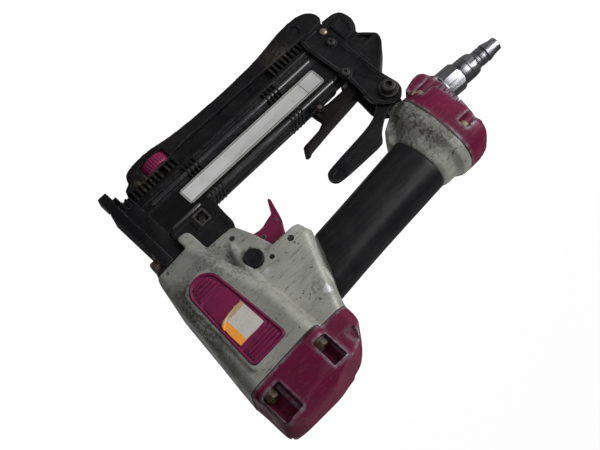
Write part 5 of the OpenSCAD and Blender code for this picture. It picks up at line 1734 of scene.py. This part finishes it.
@dataclass
class DrawerGrip(Assembly):
    """The hood at the rear end of the sliding drawer."""

    side: tuple[Point, ...] = (
        (-187, 71), (-192, 67.8), (-205, 56.4), (-207, 50.6), (-204.5, 47.5), (-201, 43.5), (-197.2, 39.9),
        (-201, 36), (-203.3, 30.2), (-203, 25.5), (-201.5, 20.5), (-197, 18), (-189.3, 17.3), (-186.9, 17.3),
        (-186.9, 71)
    )

    def build(self) -> list[Piece]:
        """Moulds the hood round its finger channel."""
        hood = plate("Drawer_Grip", rounded(self.side, 2.5, 5), -10.5, 10.5)
        carved(hood, [plate("Finger_Channel", [
            (-197, 42), (-201, 46), (-203.6, 49.5), (-193, 49.5), (-190, 42)
        ], -20, 20)])
        carved(hood, [plate("Core", [
            (-197, 42), (-200, 46), (-200, 50), (-190, 50), (-189, 41)
        ], -8.5, 8.5)], Cut.ADD)
        for side in Side:
            low, high = span(side, 9.9, 20)
            carved(hood, [
                plate("Field", rounded([
                    (-201, 50.8), (-204.2, 52), (-203, 55.6), (-191.5, 65.8), (-188.6, 67), (-188.6, 51)
                ], 1.0), low, high),
                plate("Field", rounded([
                    (-200.6, 31), (-200.5, 25.8), (-199.5, 21.6), (-196.4, 20), (-188.6, 19.3), (-188.6, 38),
                    (-197, 37)
                ], 1.0), low, high)
            ])
        round_edges(hood, 0.8, 3, 30)
        step = plate("Step", rounded([
            (-200.0, 23), (-200.9, 31), (-198.0, 38.2), (-188.6, 38.2), (-188.6, 23)
        ], 1.2), 9.6, 11.6)
        carved(step, [plate("Recess", rounded([
            (-197.6, 25.5), (-198.3, 31), (-196.2, 35.8), (-191, 35.8), (-191, 25.5)
        ], 0.8), 10.9, 13)])
        round_edges(step, 0.4, 2, 30)
        arms = both(step) + [
            soft_block("Arm", (-187.4, -5.9, 24.3), (-184, 5.9, 51.2), 0.3),
            soft_block("Hook", (-187.2, -4.5, 55), (-178, 4.5, 62), 0.3)
        ]
        self.dress(joined("Drawer_Grip", [hood] + arms), BLACK_PLASTIC, "black_plastic", "drawer_grip", body="drawer")
        return self.made


@dataclass
class Bracket(Assembly):
    """The rear bracket with its cheeks, bridge, screws, rivets and clamp bolt."""

    cheek: tuple[Point, ...] = (
        (-186.6, 17), (-167, 17), (-165.9, 25.9), (-168.8, 62), (-166.5, 83.3), (-171, 91), (-176.5, 95.5),
        (-183, 95.2), (-187.5, 91.5), (-189, 86.6), (-187.6, 78), (-186.6, 71)
    )

    def cheeks(self) -> None:
        """Presses the two cheeks with a double edge line and joins them by the bridge."""
        cheek = plate("Rear_Bracket", rounded(self.cheek, 1.6, 3), 8, 10.5)
        rim = [
            (-184.4, 19.2), (-169, 19.2), (-168.1, 26), (-171, 62), (-168.9, 82.6), (-172.6, 89.2), (-177.2, 93),
            (-182.2, 92.9), (-185.4, 90.2), (-186.6, 86.4), (-185.4, 78), (-184.4, 71)
        ]
        carved(cheek, [plate("Sunk", rounded(rim, 1.4, 3), 10.1, 12)])
        holes = [
            rod("Hole", r, -20, 20, along_y(x, z), 28)
            for (x, z), r in ((CLAMP_BOLT, 3.05), (UPPER_SCREW, 1.55), (LOWER_SCREW, 2.05), (RIVET, 1.55))
        ]
        carved(cheek, holes)
        round_edges(cheek, 0.3, 2, 40)
        bridge = soft_block("Bridge", (-176, -8.1, 54.1), (-167.6, 8.1, 61), 0.4)
        bosses = []
        for (x, z), r in ((UPPER_SCREW, 4.3), (LOWER_SCREW, 4.0)):
            ring = turned("Ring", [
                (3.5, 10), (r, 10), (r, 10.5), (r - 0.2, 10.7), (3.7, 10.7), (3.5, 10.5)
            ], along_y(x, z), 36)
            bosses += both(ring)
        piece = joined("Rear_Bracket", both(cheek) + [bridge] + bosses)
        self.dress(piece, BLACK_METAL, "black_metal", "rear_bracket")

    def fasteners(self) -> None:
        """Sets the screws and the rivets."""
        screws, rivets = [], []
        for side in Side:
            flip = FACING_DIAL if side is Side.DIAL else UPRIGHT
            for (x, z), d, key in ((UPPER_SCREW, 7, 3), (LOWER_SCREW, 6.3, 2.5)):
                at = along_y(x, z) @ flip
                screws.append(socket_head("Head", d, 2.2, key, at @ shift(0, 0, 10.5)))
                screws.append(rod("Shank", 1.5, 6.9, 10.6, at, 20))
            at = along_y(*RIVET) @ flip
            rivets.append(turned("Rivet", [
                (0, 8), (1.5, 8), (1.5, 10.5), (2.65, 10.5), (2.6, 11.0), (2.2, 11.5), (1.4, 11.8), (0, 11.9)
            ], at, 36))
        self.dress(joined("Bracket_Screws", screws), DARK_STEEL, "steel", "bracket_screws")
        self.dress(joined("Bracket_Rivets", rivets), BRASS, "brass", "bracket_rivets")

    def bolt(self) -> None:
        """Sets the clamp bolt through hook, lug and cheeks."""
        at = along_y(*CLAMP_BOLT) @ FACING_DIAL
        head = lathe("Head", [(4.9, 11.7), (5, 11.9), (5, 15.9), (4.6, 16.5), (3.9, 16.7)], at, 48)
        round_edges(head, 0.15, 2, 30)
        carved(head, [plate("Socket", hexagon(5), 14, 18, Plane.XY, at)])
        shank = lathe("Shank", [(2.6, -15.6), (3, -15.2), (3, 11.9)], at, 32)
        self.dress(joined("Bracket_Bolt", [head, shank]), DARK_STEEL, "black_metal", "bracket_bolt")

    def build(self) -> list[Piece]:
        """Builds the bracket group."""
        self.cheeks()
        self.fasteners()
        self.bolt()
        return self.made


@dataclass
class BeltHook(Assembly):
    """The flat hook clamped beside the handle's lug."""

    side: tuple[Point, ...] = (
        (-187.5, 86), (-186, 81.5), (-181.5, 79), (-176, 80), (-170, 85.5), (-163, 90.5), (-157.4, 92.6),
        (-150, 94.2), (-135, 95.4), (-114, 97.1), (-110.5, 98.5), (-108.6, 102), (-109.8, 106), (-113.5, 108.1),
        (-130, 108.7), (-150.4, 109.0), (-153.0, 107.2), (-156, 103.4), (-160.5, 99.9), (-167, 96), (-178, 93.5),
        (-184, 92), (-187, 89.5)
    )

    def build(self) -> list[Piece]:
        """Cuts the hook and presses the ring near its tip."""
        hook = plate("Belt_Hook", flowing(self.side, 3), -7.9, -4.9)
        tools = [rod("Bolt_Hole", 3.05, -20, 20, along_y(*CLAMP_BOLT), 32)]
        ring = turned("Ring", [(2.1, 7.5), (3.0, 7.5), (3.0, 9), (2.1, 9)], along_y(-114.5, 104.2) @ FACING_DIAL, 32)
        carved(hook, tools + [ring])
        round_edges(hook, 0.6, 3, 35)
        self.dress(hook, BLACK_METAL, "black_metal", "belt_hook")
        return self.made


@dataclass
class ReleaseLever(Assembly):
    """The pressed lever that opens the magazine."""

    side: tuple[Point, ...] = (
        (-172, 62.5), (-172, 69.7), (-168, 70), (-140, 72.5), (-118.4, 75.1), (-116.2, 76.3), (-114.0, 76.2),
        (-113.0, 74.9), (-113.8, 73.3), (-116, 72.6), (-119.5, 72.4), (-129.8, 71.5), (-136.8, 68.6), (-138.5, 66.1),
        (-138.4, 61.5), (-139.2, 58.5), (-142, 57.1), (-144.8, 58.5), (-145.6, 61.5), (-148, 62)
    )
    inside: tuple[Point, ...] = (
        (-180, 50), (-180, 67.9), (-168, 68.3), (-140, 70.7), (-131, 71.6), (-125, 71), (-125, 50)
    )

    def build(self) -> list[Piece]:
        """Presses the lever and hollows its channel."""
        lever = plate("Release_Lever", self.side, -6.5, 6.5)
        tools = [plate("Inside", self.inside, -4.9, 4.9), rod("Hole", 1.55, -10, 10, along_y(*LEVER_PIN), 24)]
        carved(lever, tools)
        round_edges(lever, 0.4, 3, 30)
        self.dress(lever, WORN_LEVER, "worn_lever", "release_lever", body="release_lever")
        pin = lathe("Lever_Pin", [(1.3, -8.6), (1.5, -8.35), (1.5, 8.35), (1.3, 8.6)], along_y(*LEVER_PIN), 32)
        self.dress(pin, RUSTY, "rusty_steel", "lever_pin")
        return self.made


@dataclass
class Guard(Assembly):
    """The moulded guard under the magazine, with its fins and the bays of the depth dial."""

    side: tuple[Point, ...] = (
        (-18, 9), (-19, 4.5), (-22.5, 1.5), (-30, 0.2), (-34, 0), (-42, 0), (-47, 0.8), (-60, 3.2), (-80, 4.6),
        (-108, 5.2), (-135, 4.4), (-150, 2.2), (-160, 0.6), (-166, 0), (-176, 0), (-182, 1.2), (-187, 4), (-190, 8.5),
        (-190, 15.5), (-178, 16.6), (-168, 15.6), (-140, 14.6), (-100, 13.6), (-54, 13), (-50, 15), (-12.4, 15),
        (-12.4, 10.5)
    )

    def build(self) -> list[Piece]:
        """Moulds the guard, sets its fins and cuts room for the wheel and the screws."""
        shell = plate("Shell", flowing(self.side), -9.4, 9.4)
        cast(shell, 0.7, 6, 1.0)
        web = block("Web", (-180, -4.6, 12), (-12.5, 4.6, 21.5))
        fins = []
        for x0, pitch, count in ((-37.6, 3.6, 7), (-165.8, 3.7, 8), (-51, 3.6, 3)):
            for i in range(count):
                x = x0 + pitch * i
                fins.append(soft_block("Fin", (x, -8.4, 12.5), (x + 1.7, 8.4, 21.45), 0.35))
        carved(shell, [web, joined("Fins", fins)], Cut.ADD)
        shell.name = shell.data.name = "Bottom_Guard"
        tools = both(block("Wheel_Bay", (-50.4, 6.0, 5.25), (-29.6, 14, 14.05)))
        tools += [rod("Wheel_Room", 12, 5.2, 14.1, WHEEL, 48), rod("Stud_Hole", 2.55, 1.2, 23, WHEEL, 28)]
        for side in Side:
            low, high = span(side, 8.3, 12)
            tools.append(rod("Recess", 4.5, low, high, along_y(-170, 8), 36))
        for x in GUARD_SCREWS:
            tools.append(lathe("Screw_Hole", [(3.2, -1), (3.2, 10), (1.55, 10), (1.55, 25)], shift(x, 0, 0), 28))
        carved(shell, tools)
        self.dress(shell, DUSTY_PLASTIC, "black_plastic", "bottom_guard")
        return self.made


@dataclass
class DepthDial(Assembly):
    """The ribbed wheel that sets the driving depth."""

    ribs: int = 34

    def build(self) -> list[Piece]:
        """Turns the wheel and mills its grip grooves."""
        wheel = turned("Depth_Dial", [
            (2.55, 5.5), (9.6, 5.5), (11, 5.9), (11.5, 6.6), (11.5, 12.8), (11, 13.5), (9.6, 13.9), (2.55, 13.9)
        ], WHEEL, 96)
        grooves = [rod("Groove", 0.62, 5, 14.5, place, 12) for place in spaced(WHEEL, 11.7, self.ribs)]
        carved(wheel, [joined("Grooves", grooves)])
        round_edges(wheel, 0.2, 2, 30)
        self.dress(wheel, MAGENTA, "magenta_plastic", "depth_dial", body="depth_dial")
        return self.made


@dataclass
class Springs(Assembly):
    """The two hidden coil springs, wound at a fixed length."""

    def coil(self, name: str, place: Place, radius: float, wire: float, height: float, turns: int) -> Piece:
        """Winds round wire about Z.

        Args:
            name: The spring's name.
            place: The middle of its lower end, in millimetres.
            radius: The radius of the wire's middle line.
            wire: The wire's diameter.
            height: The spring's height.
            turns: How many turns it has.

        Returns:
            The spring.
        """
        steps = turns * 24
        half = wire / 2
        rings = []
        for k in range(steps + 1):
            turn = math.tau * turns * k / steps
            rise = half + (height - wire) * k / steps
            ring = []
            for i in range(10):
                roll = math.tau * i / 10
                reach = radius + half * math.cos(roll)
                ring.append(Vector((reach * math.cos(turn), reach * math.sin(turn), rise + half * math.sin(roll))))
            rings.append(ring)
        return skin(name, rings, Matrix.Translation(place))

    def build(self) -> list[Piece]:
        """Winds the springs and dresses each one."""
        for name, node, joint, place, radius, wire, height, turns, travel in (
            ("Head_Valve_Spring", "head_valve_spring", "head_valve_lift", (0, 0, 168.6), 12.6, 1.6, 20.98, 4, 3.7),
            ("Contact_Arm_Spring", "contact_spring", "contact_arm_lift", (-30, 5, 79.15), 1.9, 0.7, 12.7, 7, 3.7)
        ):
            spring = self.coil(name, place, radius, wire, height, turns)
            self.dress(spring, STEEL, "steel", node)
            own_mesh(spring)
        return self.made


ASSEMBLIES = (
    Housing, Cap, SidePads, Grip, EndCap, AirFitting, TriggerGroup, SideDial, Nose, FrontSupport, Magazine,
    DrawerGrip, Bracket, BeltHook, ReleaseLever, Guard, DepthDial, Springs
)


# ---------------------------- studio


@dataclass
class Studio:
    """The floor, the lamps, the world and the camera round the tool."""

    target: Place = (-75.5, 0.0, 107.7)
    distance: float = 1000.0
    azimuth: float = 14.0
    elevation: float = 20.0
    lens: float = 93.75
    right: tuple[float, float] = (-0.6629, 0.7488)
    up: tuple[float, float] = (-0.7488, -0.6629)
    floor_z: float = -4.0
    floor_size: float = 16000.0
    floor_glow: float = 1.06
    glow_share: float = 0.92
    sensor: float = 36.0
    surround: float = 0.11
    shine: float = 0.06

    def camera(self) -> None:
        """Sets the camera that looks down at the dial side, rolled as the tool lies in view."""
        a = math.radians(self.azimuth)
        e = math.radians(self.elevation)
        level = Vector((math.cos(a), math.sin(a), 0.0))
        back = Vector((math.sin(a) * math.cos(e), -math.cos(a) * math.cos(e), math.sin(e)))
        rise = back.cross(level)
        right = level * self.right[0] + rise * self.right[1]
        up = level * self.up[0] + rise * self.up[1]
        data = bpy.data.cameras.new("Camera")
        data.lens = self.lens
        data.sensor_width = self.sensor
        data.clip_start = 0.02
        camera = bpy.data.objects.new("Camera", data)
        bpy.context.collection.objects.link(camera)
        place = Vector(self.target) * MM + back * self.distance * MM
        camera.matrix_world = Matrix((
            (right.x, up.x, back.x, place.x), (right.y, up.y, back.y, place.y),
            (right.z, up.z, back.z, place.z), (0.0, 0.0, 0.0, 1.0),
        ))
        bpy.context.scene.camera = camera

    def floor(self) -> None:
        """Lays a pale floor that keeps the tool's shadow."""
        clear_selection()
        bpy.ops.mesh.primitive_grid_add(
            x_subdivisions=4, y_subdivisions=4, size=self.floor_size * MM, location=(0.0, 0.0, self.floor_z * MM)
        )
        floor = bpy.context.active_object
        floor.name = "Floor"
        bpy.ops.object.transform_apply(location=True, rotation=False, scale=False)
        material = bpy.data.materials.new("Pale_Floor")
        material.use_nodes = True
        g = Graph(material.node_tree)
        shader = material.node_tree.nodes["Principled BSDF"]
        where = g.add("TexCoord").outputs["Object"]
        path = g.add("LightPath")
        tone = g.blend(g.ramp(g.noise(where, 3.0, 2.0), 0.3, 0.7), grey(0.86), grey(0.83))
        tone = g.blend(path.outputs["Is Camera Ray"], grey(0.32), tone)
        tree = material.node_tree
        tree.links.new(tone, shader.inputs["Base Color"])
        shader.inputs["Roughness"].default_value = 0.85
        shader.inputs["Specular IOR Level"].default_value = 0.2
        glow = g.add("Emission", {"Color": grey(1.0), "Strength": self.floor_glow})
        mix = g.add("MixShader", {0: g.times(path.outputs["Is Camera Ray"], self.glow_share)})
        tree.links.new(shader.outputs[0], mix.inputs[1])
        tree.links.new(glow.outputs[0], mix.inputs[2])
        tree.links.new(mix.outputs[0], tree.nodes["Material Output"].inputs["Surface"])
        floor.data.materials.append(material)

    def world(self) -> None:
        """Gives a soft grey surround that shows white behind the tool."""
        world = bpy.data.worlds.new("Soft_Room")
        world.use_nodes = True
        bpy.context.scene.world = world
        tree = world.node_tree
        g = Graph(tree)
        path = g.add("LightPath")
        direct = g.math("MAXIMUM", path.outputs["Is Camera Ray"], path.outputs["Is Transmission Ray"])
        shine = g.times(path.outputs["Is Glossy Ray"], self.shine)
        tree.links.new(
            g.slide(g.math("MAXIMUM", direct, shine), self.surround, 1.0), tree.nodes["Background"].inputs["Strength"]
        )
        tree.nodes["Background"].inputs["Color"].default_value = grey(1.0)

    def lamp(self, name: str, place: Place, power: float, size: float, shines: bool = False) -> None:
        """Hangs a soft square lamp that faces the tool.

        Args:
            name: The lamp's name.
            place: Where it hangs, in millimetres.
            power: Its power in watts.
            size: The length of its side, in millimetres.
            shines: Whether it shows as a highlight.
        """
        data = bpy.data.lights.new(name, "AREA")
        data.energy = power
        data.size = size * MM
        lamp = bpy.data.objects.new(name, data)
        bpy.context.collection.objects.link(lamp)
        lamp.location = Vector(place) * MM
        aim = Vector(self.target) - Vector(place)
        lamp.rotation_euler = aim.to_track_quat("-Z", "Y").to_euler()
        lamp.visible_glossy = shines

    def set_up(self) -> None:
        """Builds the whole studio."""
        self.camera()
        self.floor()
        self.world()
        self.lamp("Key_Lamp", (-800, -640, 480), 14.0, 650, True)
        self.lamp("Fill_Lamp", (300, -900, 300), 1.0, 700)
        self.lamp("Back_Lamp", (-200, 800, 600), 8.0, 600)
        bpy.context.scene.view_settings.view_transform = "Standard"


# ---------------------------- build


CAD_FINISHES = {
    SILVER: ("body_casting",),
    CRIMSON: ("cylinder_cap", "end_cap"),
    TRIGGER_RED: ("trigger",),
    PAD: ("side_pad_left", "side_pad_right"),
    GASKET: ("cap_gasket", "end_gasket"),
    RUSTY: ("cap_bolts", "cap_washers", "nose_bolt", "lever_pin", "lever_spring"),
    DUSTY_SCREW: ("end_cap_screws",),
    DARK_STEEL: (
        "bracket_washers", "bracket_nut", "bracket_screws", "bracket_bolt", "magazine_clip", "frame_pins",
        "guard_screws"
    ),
    ALLOY: ("cylinder_liner", "piston"),
    RUBBER: ("piston_ring", "bumper", "grip_sleeve"),
    BLACK_PLASTIC: ("head_valve", "side_dial", "front_support", "drawer_grip"),
    DUSTY_PLASTIC: ("bottom_guard",),
    BRASS: ("trigger_valve_bush", "pusher", "bracket_rivets"),
    CHROME: ("swivel_nut", "swivel_body", "air_plug"),
    BLACK_METAL: (
        "nose_base", "nose_plate", "contact_arm", "magazine_body", "magazine_ribs", "rear_bracket", "belt_hook"
    ),
    LABEL: ("label_plate",),
    MAGENTA: ("depth_dial",),
    WORN_LEVER: ("release_lever",),
}


def dress_cad() -> None:
    """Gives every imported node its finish; what no list names is plain steel."""
    finish_of = {node: finish for finish, nodes in CAD_FINISHES.items() for node in nodes}
    for name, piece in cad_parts.items():
        material = finish_of.get(name, STEEL).make()
        for place in range(max(1, len(piece.data.materials))):
            if place < len(piece.material_slots):
                piece.material_slots[place].material = material
            else:
                piece.data.materials.append(material)


def main() -> None:
    """Builds every sub-assembly in order and reports each piece."""
    logging.basicConfig(level=logging.INFO, format="%(name)s: %(message)s")
    Studio().set_up()
    dress_cad()
    for assembly in ASSEMBLIES:
        for piece in assembly().build():
            LOG.info("%s: %d faces", piece.name, len(piece.data.polygons))


if __name__ == "__main__":
    main()
